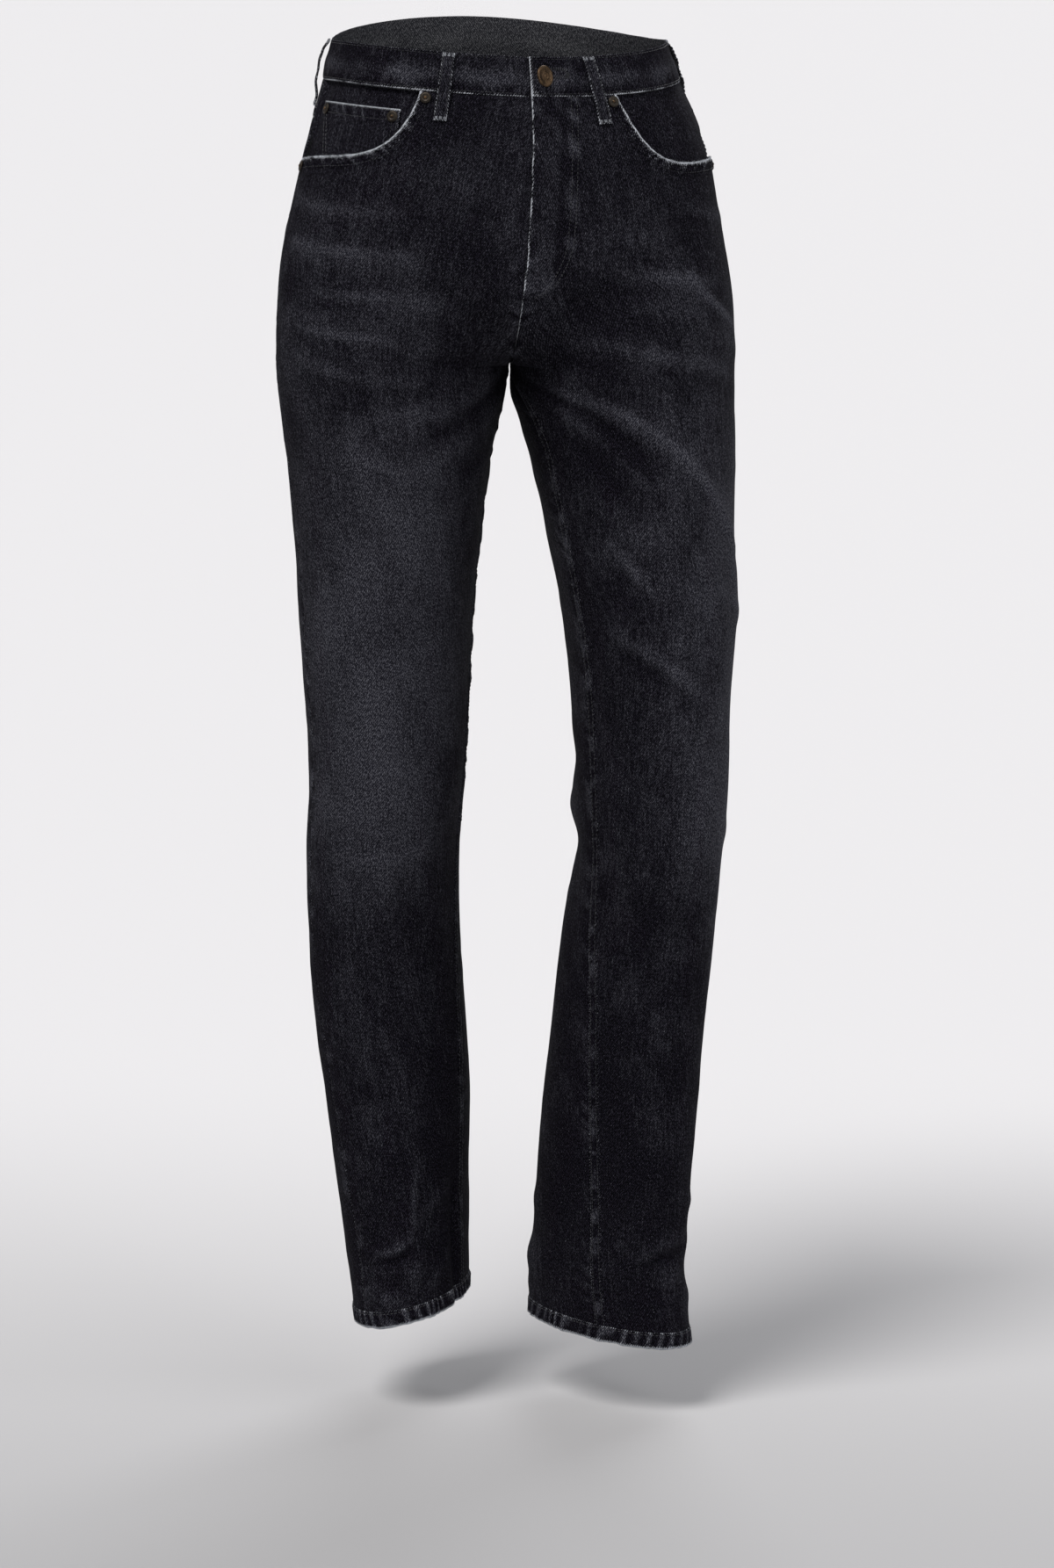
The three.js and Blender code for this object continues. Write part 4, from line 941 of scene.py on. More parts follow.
# Coin pocket: a small patch of the same denim on the wearer's right facing, its top edge turned in and
# sewn with two rows, its sides edge-stitched, and its foot caught under the panel.
COIN_FROM, COIN_TO, COIN_FOOT, COIN_TOP, COIN_BOTTOM = 38.5, 80, 66, 15.5, 70
share, down = np.meshgrid(dense_ends(34, 84, SHORT_STEPS, SHORT_STEPS), dense_ends(30, 55, EDGE_STEPS, [0]))
angle = np.radians(mix(COIN_FROM, mix(COIN_TO, COIN_FOOT, down), share))
t = pattern_drop(angle, mix(COIN_TOP, COIN_BOTTOM, down))
points, normals, height, drop, across, grain, fade = piece_places(RIGHT, angle, t)
from_inner, from_outer = lengths(points, 1)
from_top = lengths(points, 0)[0]
coin_puckers = roping(across, from_top, 10, 91, 4.0)
height = height - CLOTH - LAY_GAP + 0.5 * coin_puckers
height = height + edge_roll(from_inner, 0.4) + edge_roll(from_outer, 0.4)
height = height + 0.35 * (1 - smooth((from_top - 10) / 1.4)) - 0.25 * bell(from_top - 9.2, 0.8)
wear = 0.85 * bell(from_top, 1.4) + 0.3 * bell(from_inner, 0.9)
wear = wear + 0.3 * bell(from_outer, 1.0) + 0.2 * np.maximum(coin_puckers, 0)
fade = fade + 0.7 * coin_puckers
coin, face = sewn_piece("coin_pocket", points, normals, height, height - COIN_CLOTH, grain, fade, wear)
seams, fray = [], []
for offset in (1.8, 9.2):
    stitches(line_beside(face, 0, 0, offset), seams)
for end in (0, 1):
    for offset in (1.6, 5.6):
        stitches(line_beside(face, 1, end, offset, 0.03, 1), seams)
frayed(line_beside(face, 0, 0, 0.1), fray, 1, 0.6, (0.5, 1.2), 72)
sewing = thread_object("stitches_coin_pocket", seams)
fibres = thread_object("fray_coin_pocket", fray, WORN_THREAD)

# Fly: the left front's top layer, which laps over the right one. Its free edge is worn white down the
# centre front, and its back edge is held by the curved double row of stitching.
FLY_WIDTH, FLY_DROP, FLY_TIP = 40, 160, 4
FLY_STRAIGHT, FLY_CURVE = 0.68, 0.32  # shares of its length above and in the curve to the centre
FRONT_RADIUS = 140  # cloth to a radian at the centre front


def hip_speed(drop):
    right, left = section_at(HIPS, drop)[:2]
    return (left + right) / 2


def centre_place(down):
    """Pattern place of a distance below the waist seam at the centre front."""
    top = float(rise_edge(True, 0.0)[0])
    bend = float(rise_edge(True, STRAIGHT_RISE)[0])
    straight = down / ((bend - top) / STRAIGHT_RISE)
    turn = np.arcsin(np.clip((down + top - bend) / (CROTCH_DROP - bend), 0, 1))
    return np.where(straight <= STRAIGHT_RISE, straight, mix(STRAIGHT_RISE, 1, turn / SIDE_SEAM)), top


columns = np.concatenate([[0, 0.012, 0.03, 0.055], np.linspace(0.08, 1, 30)])
share, down = np.meshgrid(columns, FLY_DROP * np.linspace(0, 1, 96))
t, fly_top = centre_place(down)
bow = np.sqrt(1 - np.clip((down - FLY_DROP * FLY_STRAIGHT) / (FLY_DROP * FLY_CURVE), 0, 1) ** 2)
fly_angle = mix(FLY_TIP, FLY_WIDTH, bow) / hip_speed(down + fly_top) * share
waver = 0.7 * soft_noise(down / 11, down * 0, 68) * (1 - smooth(share / 0.3))
fly_angle = fly_angle + waver / FRONT_RADIUS
angle = line_at(np.maximum(fly_angle, 0), t)
points, normals, height, _, _, grain, fade = piece_places(LEFT, angle, t)
from_edge, from_back = lengths(points, 1)
from_foot = lengths(points, 0)[1]
laid = smooth(from_back / 9) * smooth(from_foot / 12)
ridge = 0.9 * soft_noise(from_edge / 5.5 + 0.4, down / 60, 66) * bell(from_edge - 20, 16)
edge_ropes = roping(down, from_edge, 6, 67, 6.5)
back_ropes = roping(down, np.minimum(from_back, from_foot), 12, 70, 5)
outer = height + mix(0.14, LAY_GAP + CLOTH * 0.8, laid) + ridge * laid + 0.3 * edge_ropes
outer = outer + 0.5 * back_ropes * laid + edge_roll(from_edge, 0.5)
inner = np.minimum(height + mix(0.05, LAY_GAP * 0.4, laid), outer - 0.08)
ragged = 0.62 + 0.4 * soft_noise(down / 5, down * 0, 69)
wear = ragged * bell(from_edge, 1.0) + 0.2 * np.maximum(edge_ropes, 0)
fade = fade + 0.35 * ridge + 0.4 * edge_ropes + 0.8 * back_ropes
fly, face = sewn_piece("fly", points, normals, outer, inner, grain, fade, wear, "fly_flap")
seams, fray = [], []
for offset in (3.4, 8.6):
    stitches(line_beside(face, 1, 1, offset, 0.01, 0.97), seams)
frayed(line_beside(face, 1, 0, 0.1), fray, -1, 1.3, (0.3, 0.9), 73)
sewing = thread_object("stitches_fly", seams)
fibres = thread_object("fray_fly", fray, WORN_THREAD)

# Back panels: one for each leg, from the yoke to the hem, felled at the centre back and inseam and
# edge-stitched beside the side seam over the hip.
YOKE_SIDE, YOKE_CENTRE = 30, 60


def yoke_seam(angle):
    return pattern_drop(angle, mix(YOKE_SIDE, YOKE_CENTRE, np.cos(angle) ** 2))


TOP_ROWS = 24
for half in (LEFT, RIGHT):
    top_rows = np.linspace(0, 1, TOP_ROWS + 1)[:-1]
    columns, rows = dense_ends(46, 225, SHORT_STEPS, EDGE_STEPS), np.concatenate([top_rows, 1 + LEG_ROWS])
    share, down = np.meshgrid(columns, rows)
    angle = mix(SIDE_SEAM, math.pi, share)
    t = np.where(down < 1, mix(yoke_seam(angle), POCKET_END, np.clip(down, 0, 1)),
                 mix(POCKET_END, 2, np.clip(down - 1, 0, 1)))
    points, normals, height, drop, _, grain, fade = piece_places(half, angle, t)
    from_side, from_centre = lengths(points, 1)
    from_yoke = lengths(points, 0)[0]
    points = drawn_in(points, ALL_ROUND)
    ropes = roping(drop, from_centre, FELL, 63, 4.8)
    lapped = 1 - smooth((t - 0.98) / 0.02) if half is LEFT else 0.0
    height = height + edge_roll(from_side, 0.45) + edge_roll(from_centre) + edge_roll(from_yoke, 0.4)
    height = height + felled(from_centre) * lapped + 0.4 * ropes
    side_ropes = roping(drop, from_side, 7, 89, 6)
    height = height + 0.5 * side_ropes
    wear = 0.22 * bell(from_side, 0.9) + 0.35 * bell(from_centre, 0.8)
    wear = wear + 0.35 * bell(from_yoke, 0.9)
    fade = fade + 0.6 * ropes + 0.6 * side_ropes
    piece, face = sewn_piece(f"back_{half.name}", points, normals, height, height - CLOTH, grain, fade, wear)
    seams = []
    stitches(line_beside(face, 1, 0, 1.8, 0, 0.27), seams)
    if half is LEFT:
        for offset in FELL_ROWS:
            stitches(line_beside(face, 1, 1, offset, 0, 0.325), seams)
    sewing = thread_object(f"stitches_back_{half.name}", seams)

# Yokes: two shaped pieces across the top of the back, deepest at the centre. Each is felled over its back
# panel with two rows of stitches.
for half in (LEFT, RIGHT):
    columns, rows = dense_ends(60, 205, SHORT_STEPS, EDGE_STEPS), dense_ends(14, 46, SHORT_STEPS, EDGE_STEPS)
    share, down = np.meshgrid(columns, rows)
    angle = mix(SIDE_SEAM, math.pi, share)
    t = yoke_seam(angle) * down
    points, normals, height, drop, across, grain, fade = piece_places(half, angle, t)
    from_side, from_centre = lengths(points, 1)
    from_waist, from_foot = lengths(points, 0)
    points = drawn_in(points, ALL_ROUND)
    puckers = roping(across, from_foot, FELL, 64, 5.5)
    lapped = 1.0 if half is LEFT else 0.0
    height = height + edge_roll(from_side, 0.4) + edge_roll(from_waist) + edge_roll(from_foot)
    height = height + edge_roll(from_centre)
    height = height + felled(from_foot, FELL, 0.6) + felled(from_centre) * lapped + 0.35 * puckers
    wear = 0.5 * bell(from_foot, 0.9) + 0.35 * bell(from_side, 0.9)
    wear = wear + 0.4 * bell(from_centre, 0.8) + 0.2 * np.maximum(puckers, 0)
    piece, face = sewn_piece(f"yoke_{half.name}", points, normals, height, height - CLOTH, grain, fade, wear)
    seams = []
    stitches(line_beside(face, 1, 0, 1.8), seams)
    for offset in FELL_ROWS:
        stitches(line_beside(face, 0, 1, offset), seams)
        if half is LEFT:
            stitches(line_beside(face, 1, 1, offset), seams)
    sewing = thread_object(f"stitches_yoke_{half.name}", seams)

# Seat pockets: a patch on each back panel with a pointed foot and a hem across its top, sewn on plain with
# two rows of stitches down its sides and round its foot.
SEAT_FROM, SEAT_TO, SEAT_TAPER = 113, 163, 3  # degrees
SEAT_TOP, SEAT_BOTTOM, SEAT_POINT = 66, 190, 14  # drops, and how far the point reaches below them
SEAT_HEM, SEAT_ROWS = 11.4, (1.9, 7.6)


def hip_place(half, around, drop):
    low, high = np.zeros_like(drop), np.ones_like(drop)
    for _ in range(26):
        middle = (low + high) / 2
        above = place(half, line_at(around, middle), middle)[0] < drop
        low, high = np.where(above, middle, low), np.where(above, high, middle)
    return line_at(around, low), low


for half in (LEFT, RIGHT):
    columns, rows = dense_ends(34, 118, EDGE_STEPS, EDGE_STEPS), dense_ends(46, 130, EDGE_STEPS, EDGE_STEPS)
    share, down = np.meshgrid(columns, rows)
    around = np.radians(mix(SEAT_FROM + SEAT_TAPER * down, SEAT_TO - SEAT_TAPER * down, share))
    foot = SEAT_BOTTOM + SEAT_POINT * (1 - np.abs(2 * share - 1))
    angle, t = hip_place(half, around, mix(SEAT_TOP, foot, down))
    points, normals, height, drop, across, grain, fade = piece_places(half, angle, t)
    from_side, from_centre = lengths(points, 1)
    from_top, from_foot = lengths(points, 0)
    sides = np.minimum(np.minimum(from_side, from_centre), from_foot)
    puckers = roping(drop + across, sides, 8, 65, 5.5) + roping(across, from_top, 12, 66, 5.5)
    outer = height + LAY_GAP + CLOTH * 0.9 + edge_roll(sides, 0.7) + edge_roll(from_top, 0.4) + 0.3 * puckers
    outer = outer + 0.5 * (1 - smooth((from_top - 12.5) / 1.6)) - 0.3 * bell(from_top - SEAT_HEM, 0.9)
    for row in SEAT_ROWS:
        outer = outer - 0.3 * bell(sides - row, 0.8)
    wear = 0.75 * bell(from_top, 1.1) + 0.5 * bell(sides, 0.9) + 0.2 * np.maximum(puckers, 0)
    fade = fade + 0.12 * bell(from_side - 55, 40) * bell(from_top - 60, 45)
    inner = height + 0.45
    piece, face = sewn_piece(f"seat_pocket_{half.name}", points, normals, outer, inner, grain, fade, wear)
    seams = []
    for offset in SEAT_ROWS:
        stitches(line_beside(face, 1, 0, offset), seams)
        stitches(line_beside(face, 1, 1, offset), seams)
        stitches(line_beside(face, 0, 1, offset, 0.02, 0.98), seams)
    for offset in (2.0, SEAT_HEM):
        stitches(line_beside(face, 0, 0, offset), seams)
    sewing = thread_object(f"stitches_seat_pocket_{half.name}", seams)

# Waistband: one straight strip folded along its top edge and sewn over the panels with a row of stitches by
# each edge. Its left end laps over the right one, and has the buttonhole.
BAND_OUT, BAND_IN, SEAM_GAP = 0.8, 1.4, 0.36
BAND_RADIUS = 134  # cloth to a radian round the band
UNDERLAP = math.radians(24)
LAP_RAMP = math.radians(5)


def band_place(half, angle, share):
    drop = waist_drop(half, angle) + BAND_HEIGHT * share
    at = lambda a, d: face_point(half, a, d, np.zeros_like(d), a)
    across = at(angle + 0.004, drop) - at(angle - 0.004, drop)
    down = at(angle, drop + 1) - at(angle, drop - 1)
    return at(angle, drop), unit(np.cross(down, across) * half.side), drop


def band_relief(around, share):
    """The band puffs out between its rows of stitches, and puckers beside them. around is in millimetres."""
    puff = 0.95 * bell(share - 0.6, 0.2) + 0.4 * soft_noise(around / 17, share * 1.6, 81)
    low = soft_noise(around / 6 + share * 1.5, share * 0, 82) * bell(share - 0.86, 0.14)
    high = soft_noise(around / 7 - share * 1.2, share * 0, 83) * bell(share - 0.12, 0.12)
    grooves = bell(share - 0.93, 0.03) + bell(share - 0.065, 0.03)
    return puff + 0.5 * low + 0.4 * high - 0.3 * grooves + 0.14 * soft_noise(around / 5, share * 5, 84)


first_angles = np.array([0, 0.004, 0.009, 0.016, 0.025])
full_turn = np.linspace(0, math.tau, 560)
ramp_angles = np.linspace(math.tau - LAP_RAMP * 1.3, math.tau, 28)
lap_angles = np.linspace(math.tau, math.tau + UNDERLAP, 46)[1:]
full_turn = full_turn[(full_turn > 0.03) & (full_turn < ramp_angles[0])]
columns = np.concatenate([first_angles, full_turn, ramp_angles, lap_angles])
fold_steps = [0, 0.5, 1.2, 2.0, 3.0]
turn, share = np.meshgrid(columns, dense_ends(12, BAND_HEIGHT, fold_steps, fold_steps))
own = (turn <= math.pi) | (turn > math.tau)
left_points, left_normals, _ = band_place(LEFT, np.where(turn > math.tau, turn - math.tau, turn), share)
right_points, right_normals, _ = band_place(RIGHT, math.tau - turn, share)
points = np.where(own[..., None], left_points, right_points)
normals = np.where(own[..., None], left_normals, right_normals)
behind = BAND_OUT + BAND_IN + SEAM_GAP
tucked = smooth(1 - (math.tau - turn) / LAP_RAMP) * behind
around = turn * BAND_RADIUS
relief = band_relief(around, share)
from_end = lengths(points, 1)[0]
from_top, from_foot = lengths(points, 0)
outer = BAND_OUT - tucked + relief * np.where(tucked > 0.1, 0.2, 1)
outer = outer + edge_roll(from_top, 0.5) + edge_roll(from_foot, 0.5) + edge_roll(from_end, 0.5)
inner = -BAND_IN - tucked
points = drawn_in(points, [(0, 0), (0, 1), (1, 0)])
band_fade = 0.62 * relief - 0.14 + 0.25 * soft_noise(around / 24, share * 2, 85)
wear = 0.3 * bell(from_top, 0.8) + (0.55 + 0.3 * soft_noise(around / 7, share * 0, 86)) * bell(from_foot, 1.2)
wear = wear + 0.8 * bell(from_end, 1.2) + 0.35 * bell(from_end - 2, 5) * bell(from_foot - 3, 5)
grain = np.stack([around, -share * BAND_HEIGHT, np.zeros_like(around)], -1)
band, face = sewn_piece("waistband", points, normals, outer, inner, grain, band_fade, wear)
shown = [g[:, :len(columns) - len(lap_angles) - 12] for g in face]  # up to where the band tucks under itself
seams, fray = [], []
stitches(line_beside(shown, 0, 0, 2.0, 0.004, 1), seams)
stitches(line_beside(shown, 0, 1, 2.1, 0.004, 1), seams)
stitches(line_beside(shown, 1, 0, 2.4), seams)
frayed(line_beside(shown, 1, 0, 0.1), fray, -1, 0.7, (0.4, 1.2), 74)
frayed(line_beside(shown, 0, 1, 0.1), fray, -1, 2.2, (0.3, 0.8), 75)
# The buttonhole's edge is closely overcast.
HOLE_START, HOLE_LENGTH, HOLE_SHARE, HOLE_RADIUS, HOLE_STITCH = 10.5, 18, 0.42, 1.5, 2.1
lap = np.linspace(0, 1, 61)[:-1] * math.tau
middle_x, middle_y = HOLE_START + HOLE_LENGTH / 2, HOLE_SHARE * BAND_HEIGHT
end_share = np.minimum(1, np.abs(np.cos(lap)) * 1.7)
hole_x = middle_x + np.sign(np.cos(lap)) * HOLE_LENGTH / 2 * end_share
hole_y = middle_y + HOLE_RADIUS * np.sin(lap)
way = unit(np.stack([(hole_x - middle_x) * 0.12, hole_y - middle_y], -1))
span = np.linspace(0, HOLE_STITCH, 3)
for k in range(len(lap)):
    x, y = (hole_x[k] + way[k, 0] * span) / FRONT_RADIUS, (hole_y[k] + way[k, 1] * span) / BAND_HEIGHT
    p, n, _ = band_place(LEFT, x, y)
    stitch_at = p + n * (BAND_OUT + band_relief(x * BAND_RADIUS, y) + 0.1)[:, None]
    long_enough = np.concatenate([stitch_at, stitch_at[-1:] + (stitch_at[-1:] - stitch_at[:1])])
    stitches((long_enough, np.concatenate([n, n[-1:]])), seams)
sewing = thread_object("stitches_waistband", seams)
fibres = thread_object("fray_waistband", fray, WORN_THREAD)

# Belt loops: five strips with their edges turned in, overcast at both ends. Each bridges the band and is
# sewn to the panel below it.
LOOP_WIDTH, LOOP_TAIL, LOOP_CLOTH = 10, 22, 1.6
LOOP_COLUMNS = np.array([0, 0.05, 0.12, 0.2, 0.3, 0.4, 0.5, 0.6, 0.7, 0.8, 0.88, 0.95, 1])
# Each loop's half, degrees round at its top and foot, and how far it stands off the band.
loops = (("front_left", LEFT, 20.6, 22.5, 1.6), ("front_right", RIGHT, 25, 26.2, 1.6),
         ("side_left", LEFT, 96, 98, 3.2), ("side_right", RIGHT, 96, 98, 3.2), ("back", LEFT, 180, 180, 1.6))
for name, half, top_degrees, foot_degrees, stand in loops:
    ends = band_place(half, np.radians([top_degrees - 1, top_degrees + 1]), np.array([1.0, 1.0]))[0]
    half_angle = LOOP_WIDTH / 2 * math.radians(2) / float(np.linalg.norm(ends[1] - ends[0]))
    share, k = np.meshgrid(LOOP_COLUMNS, np.linspace(0, 1, 84))
    angle = np.radians(mix(top_degrees, foot_degrees, k)) + mix(-half_angle, half_angle, share)
    down = mix(1, BAND_HEIGHT + LOOP_TAIL, k)
    arch = smooth((down - 1) / 9) * smooth((BAND_HEIGHT + LOOP_TAIL * 0.75 - down) / 12)
    on_band = BAND_OUT + SEAM_GAP + 0.15
    rest = mix(on_band, SEAM_GAP + 0.1, smooth((down - BAND_HEIGHT - 3) / 5))
    on_share = np.minimum(down / BAND_HEIGHT, 1)
    band_points, band_normals, _ = band_place(half, angle, on_share)
    low_t = pattern_drop(angle, np.maximum(down - BAND_HEIGHT, 0))
    points, normals, height, *_, fade = piece_places(half, angle, low_t)
    around = (angle if half is LEFT else math.tau - angle) * BAND_RADIUS
    lifted = smooth((down - BAND_HEIGHT + 3) / 6)
    height = mix(np.maximum(band_relief(around, on_share), 0.25), height, lifted)
    points = np.where((down <= BAND_HEIGHT)[..., None], band_points, points)
    normals = unit(mix(band_normals, normals, lifted[..., None]))
    edge = np.minimum(share, 1 - share) * LOOP_WIDTH
    inner = height + rest + stand * arch
    bumps = 0.22 * soft_noise(down / 3.2, share * 3, 95)
    outer = inner + LOOP_CLOTH + edge_roll(edge, 0.55, 0.8) - 0.25 * bell(edge - 1.5, 0.6) + bumps
    wear = (0.45 + 0.35 * soft_noise(down / 2, share * 9, 96)) * bell(edge, 0.9)
    wear = wear + 0.4 * bell(BAND_HEIGHT + LOOP_TAIL - down, 1.4)
    wear = wear + 0.35 * bell(down - 1, 1.5) + 0.25 * np.maximum(bumps, 0)
    grain = np.stack([share * LOOP_WIDTH + top_degrees, -down, np.zeros_like(down)], -1)
    fade = fade + 0.2 + 0.5 * bumps
    piece, face = sewn_piece(f"loop_{name}", points, normals, outer, inner, grain, fade, wear,
                             f"belt_loop_{name}")
    seams, bars = [], []
    for end in (0, 1):
        stitches(line_beside(face, 1, end, 1.5), seams)
    for offset in (1.4, 2.1, 2.8):
        for end in (1, 0):
            stitches(line_beside(face, 0, end, offset), bars)
    sewing = thread_object(f"stitches_loop_{name}", seams)
    overcast = thread_object(f"bar_tacks_loop_{name}", bars, WORN_THREAD)

# Hems: each leg's foot is turned up twice and sewn with one row, and the wash has roped it. Its fold is
# frayed white all round.
for half in (LEFT, RIGHT):
    rows = dense_ends(10, HEM_HEIGHT, [0, 0.5, 1.1, 1.8, 2.6], [0, 0.4, 0.9, 1.6])
    angle, down = np.meshgrid(np.linspace(0, math.pi, 361)[:-1], rows)
    bottom = hem_drop(half, angle)
    top_t = np.full(angle.shape, 2.0)
    across = arc_at(half, angle, top_t)
    arc = across - across.min()
    turns = arc / 9.6 + down * 0.5 + 0.8 * soft_noise(arc / 21, down * 0, 101 if half is LEFT else 102)
    ropes = (0.65 + 0.35 * soft_noise(arc / 17, down, 105)) * np.sin(math.tau * turns)
    ropes = ropes + 0.35 * soft_noise((arc + down * 6) / 3.4, down * 0.6, 103)
    drop = bottom - HEM_HEIGHT * (1 - down) + (0.7 * soft_noise(arc / 8, down * 0, 104)) * down**2
    at = lambda a: face_point(half, a, drop, np.ones_like(a), a)
    points = at(angle)
    normals = unit(np.cross(np.array([0, 0, -1.0]), at(angle + 0.01) - at(angle - 0.01)) * half.side)
    seam_drop = bottom - HEM_HEIGHT
    flare = fold_height(angle, seam_drop, half.folds, 6)
    flare = flare + small_folds(half, angle, seam_drop, across)
    from_top, from_foot = down * HEM_HEIGHT, (1 - down) * HEM_HEIGHT
    outer = BAND_OUT + flare + 0.75 * ropes * smooth(from_top / 3)
    outer = outer + edge_roll(from_top, 0.6) + edge_roll(from_foot, 0.9, 1.0)
    outer = outer - 0.35 * bell(from_top - 2.2, 0.8)
    inner = -BAND_IN + flare + 0.6 * ropes * smooth(from_top / 3) + 0.5 * bell(from_foot, 1.0)
    wear = 0.3 * bell(from_top, 0.9) + 1.1 * bell(from_foot, 1.9) + 0.3 * np.maximum(ropes - 0.2, 0)
    fade = 0.02 + 0.95 * ropes
    grain = np.stack([across * half.side, -drop, np.zeros_like(drop)], -1)
    piece, face = sewn_piece(f"hem_{half.name}", points, normals, outer, inner, grain, fade, wear, ring=True)
    seams, fray = [], []
    closed = [np.concatenate([g, g[:, :1]], axis=1) for g in face]
    stitches(line_beside(closed, 0, 0, 2.2), seams)
    frayed(line_beside(closed, 0, 1, 0.15), fray, half.side, 0.3, (0.7, 2.6), 76, 0.12)
    frayed(line_beside(closed, 0, 1, 0.15), fray, half.side, 1.6, (1.5, 3.6), 77)
    sewing = thread_object(f"stitches_hem_{half.name}", seams)
    fibres = thread_object(f"fray_hem_{half.name}", fray, WORN_THREAD)

# Rivets and button: aged brass, darkened in the hollows. The rivets are set through the cloth at the ends of
# the pocket mouths and at the coin pocket's corners, and the button stands on its shank at the band's end.
BRASS = plain_finish("aged_brass", (0.085, 0.052, 0.027), 0.42, metallic=0.8, grain=0.55)
DARK_BRASS = plain_finish("darkened_brass", (0.030, 0.023, 0.016), 0.5, metallic=0.7, grain=0.6)


def turned(name, node, profile, segments, foot, normal, finish, bright_to):
    """A solid turned about its normal: profile is radius and height from the axis round to the axis."""
    normal = unit(normal)
    aside = unit(np.cross(normal, np.array([0.3, 0.2, 1.0])))
    ahead = np.cross(normal, aside)
    turns = np.linspace(0, math.tau, segments + 1)[:-1]
    points = [foot + normal * profile[0][1]]
    for radius, height in profile[1:-1]:
        for a in turns:
            points.append(foot + normal * height + (aside * math.cos(a) + ahead * math.sin(a)) * radius)
    points.append(foot + normal * profile[-1][1])
    faces, rings = [], len(profile) - 2
    for j in range(segments):
        after = (j + 1) % segments
        faces.append((0, 1 + after, 1 + j))
        for r in range(rings - 1):
            low, high = 1 + r * segments, 1 + (r + 1) * segments
            faces.append((low + j, low + after, high + after, high + j))
        end = 1 + (rings - 1) * segments
        faces.append((end + j, end + after, len(points) - 1))
    piece = new_object(name, points, faces, [finish, BRASS])
    for face in piece.data.polygons:
        reach = max((Vector(points[v]) - Vector(foot)).cross(Vector(normal)).length for v in face.vertices)
        face.material_index = int(reach < bright_to)
    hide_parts(node)
    return piece


RIVET = [(0, 0), (4.4, 0), (4.5, 0.25), (4.42, 0.55), (4.1, 0.85), (3.6, 1.1), (3.0, 1.2), (2.5, 1.12),
         (2.1, 0.95), (1.75, 0.92), (1.5, 1.05), (1.25, 1.45), (1.0, 1.8), (0.6, 2.02), (0.3, 2.08), (0, 2.1)]
RIVET_BRIGHT = 1.3  # radius of the burr's rubbed tip
ON_PANEL = SEAM_GAP + 0.7
ON_COIN = -CLOTH - LAY_GAP + SEAM_GAP + 0.3
BY_SIDE, BY_COIN = POCKET_DEPTH + 6, COIN_TOP + 6
# Each rivet's half, degrees round, cloth below the band, and how far its foot stands off the panel's face.
rivets = (("left_inner", LEFT, 26.5, 5.4, ON_PANEL), ("right_inner", RIGHT, 31, 5.4, ON_PANEL),
          ("left_outer", LEFT, 87, BY_SIDE, ON_PANEL), ("right_outer", RIGHT, 87, BY_SIDE, ON_PANEL),
          ("coin_inner", RIGHT, 40.8, BY_COIN, ON_COIN), ("coin_outer", RIGHT, 75.5, BY_COIN, ON_COIN))
for name, half, degrees, down, base in rivets:
    angle = np.array([math.radians(degrees)])
    points, normals, height, *_ = piece_places(half, angle, pattern_drop(angle, down))
    foot = (points + normals * (height + base)[:, None])[0]
    turned(f"rivet_{name}_brass", f"rivet_{name}", RIVET, 28, foot, normals[0], DARK_BRASS, RIVET_BRIGHT)

BUTTON_LEAN = math.radians(36)
BUTTON_IN, BUTTON_SHARE = 8.5, 0.52  # from the band's end, and its share of the band's height
BUTTON = [(0, 0), (3.6, 0), (3.4, 0.6), (3.0, 1.4), (3.0, 2.4), (5.6, 2.5), (7.8, 2.6), (8.3, 2.8),
          (8.5, 3.2), (8.5, 3.9), (8.25, 4.3), (7.7, 4.6), (7.1, 4.62), (6.4, 4.45), (5.6, 4.25),
          (4.6, 4.12), (3.6, 4.08), (3.3, 4.2), (3.1, 4.5), (2.9, 4.72), (2.5, 4.72), (2.2, 4.5),
          (2.0, 4.2), (1.7, 4.1), (1.2, 4.3), (0.6, 4.42), (0, 4.45)]
angle = np.array([BUTTON_IN / float(hip_speed(BAND_HEIGHT / 2))])
points, normals, _ = band_place(LEFT, angle, np.array([BUTTON_SHARE]))
cos, sin = math.cos(BUTTON_LEAN), math.sin(BUTTON_LEAN)
lean = np.array([[cos, -sin, 0], [sin, cos, 0], [0, 0, 1]])
foot = (points + normals * (BAND_OUT + 2))[0]
turned("button_brass", "button", BUTTON, 56, foot, lean @ normals[0], BRASS, 0)

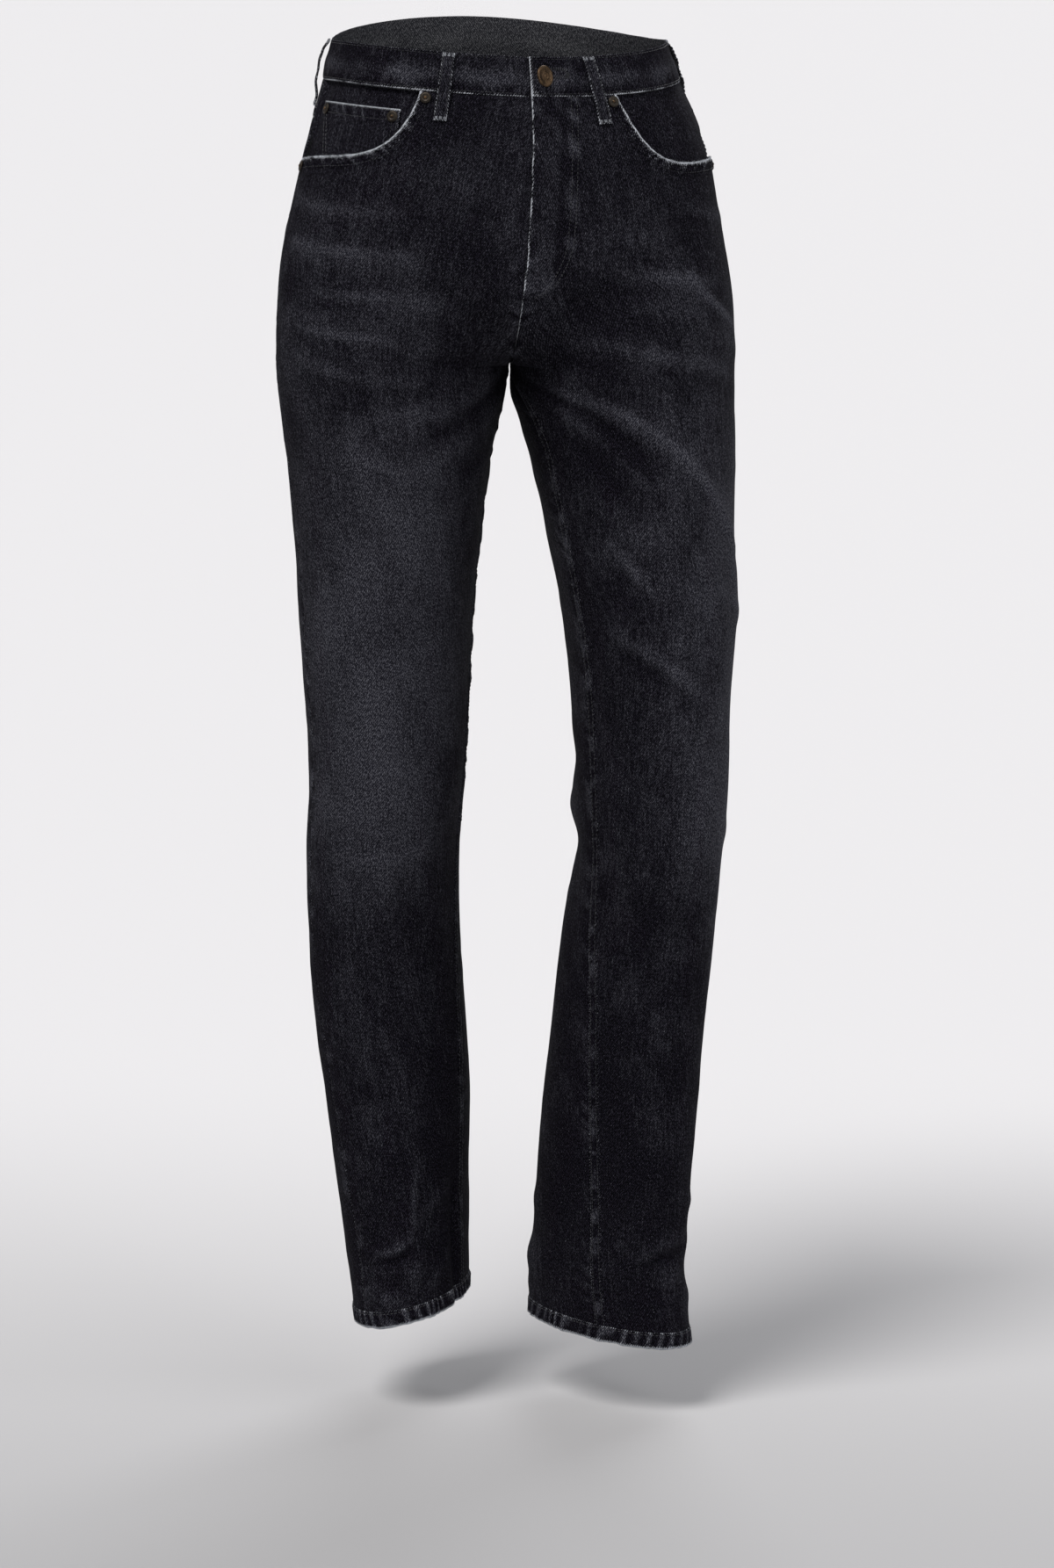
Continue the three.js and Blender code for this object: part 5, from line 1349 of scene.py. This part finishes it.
# Floor, light and camera.
FLOOR_Z = -1.115
SCENE = bpy.context.scene
SCENE.view_settings.view_transform = "Standard"
floor_mesh = bpy.data.meshes.new("floor")
corners = [(-200, -60), (200, -60), (200, 400), (-200, 400)]
floor_mesh.from_pydata([(x, y, FLOOR_Z) for x, y in corners], [], [(0, 1, 2, 3)])
floor = bpy.data.objects.new("floor", floor_mesh)
SCENE.collection.objects.link(floor)
paper, tree, paper_shader = new_finish("pale_paper")
spot = add_node(tree, "ShaderNodeTexCoord").outputs["Object"]
parts = add_node(tree, "ShaderNodeSeparateXYZ")
tree.links.new(spot, parts.inputs[0])
# The floor is painted darker towards the camera and paler far back: a painted shade gradient standing in for
# the fall of the studio light.
away = ramp_between(tree, parts.outputs["Y"], -0.75, 1.4)
paper_with_painted_falloff = blend(tree, away, (0.40, 0.395, 0.40), (0.655, 0.645, 0.653))
tree.links.new(paper_with_painted_falloff, paper_shader.inputs["Base Color"])
paper_shader.inputs["Roughness"].default_value = 0.9
paper_shader.inputs["Specular IOR Level"].default_value = 0.1
floor_mesh.materials.append(paper)

world = bpy.data.worlds.new("studio")
SCENE.world = world
world.use_nodes = True
world.node_tree.nodes["Background"].inputs["Color"].default_value = (0.95, 0.965, 1, 1)
world.node_tree.nodes["Background"].inputs["Strength"].default_value = 0.2


def sun(name, azimuth, elevation, strength, softness, colour=(1, 1, 1)):
    """A large soft light a long way off: azimuth 0 shines from the front, and 90 from the wearer's left."""
    data = bpy.data.lights.new(name, "SUN")
    data.energy, data.angle, data.color = strength, math.radians(softness), colour
    lamp = bpy.data.objects.new(name, data)
    a, e = math.radians(azimuth), math.radians(elevation)
    way = Vector((math.sin(a) * math.cos(e), -math.cos(a) * math.cos(e), math.sin(e)))
    lamp.rotation_euler = way.to_track_quat("Z", "Y").to_euler()
    SCENE.collection.objects.link(lamp)


sun("left", -36, 54, 2.6, 26, (1, 0.99, 0.98))
sun("right", 56, 26, 1.1, 60, (0.99, 0.99, 1))
sun("back", 165, 40, 1.5, 40, (0.97, 0.98, 1))

SENSOR = 24
FOCAL_ROWS, PICTURE_ROWS = 6090, 1785  # focal length and height of the picture, in rows of it
LOOKS_DOWN = 8.72  # degrees
camera_data = bpy.data.cameras.new("camera")
camera_data.sensor_fit = "VERTICAL"
camera_data.sensor_height = SENSOR
camera_data.lens = SENSOR * FOCAL_ROWS / PICTURE_ROWS
camera = bpy.data.objects.new("camera", camera_data)
camera.location = (0.022, -4.3, 0.06)
camera.rotation_euler = (math.radians(90 - LOOKS_DOWN), 0, 0)
SCENE.collection.objects.link(camera)
SCENE.camera = camera
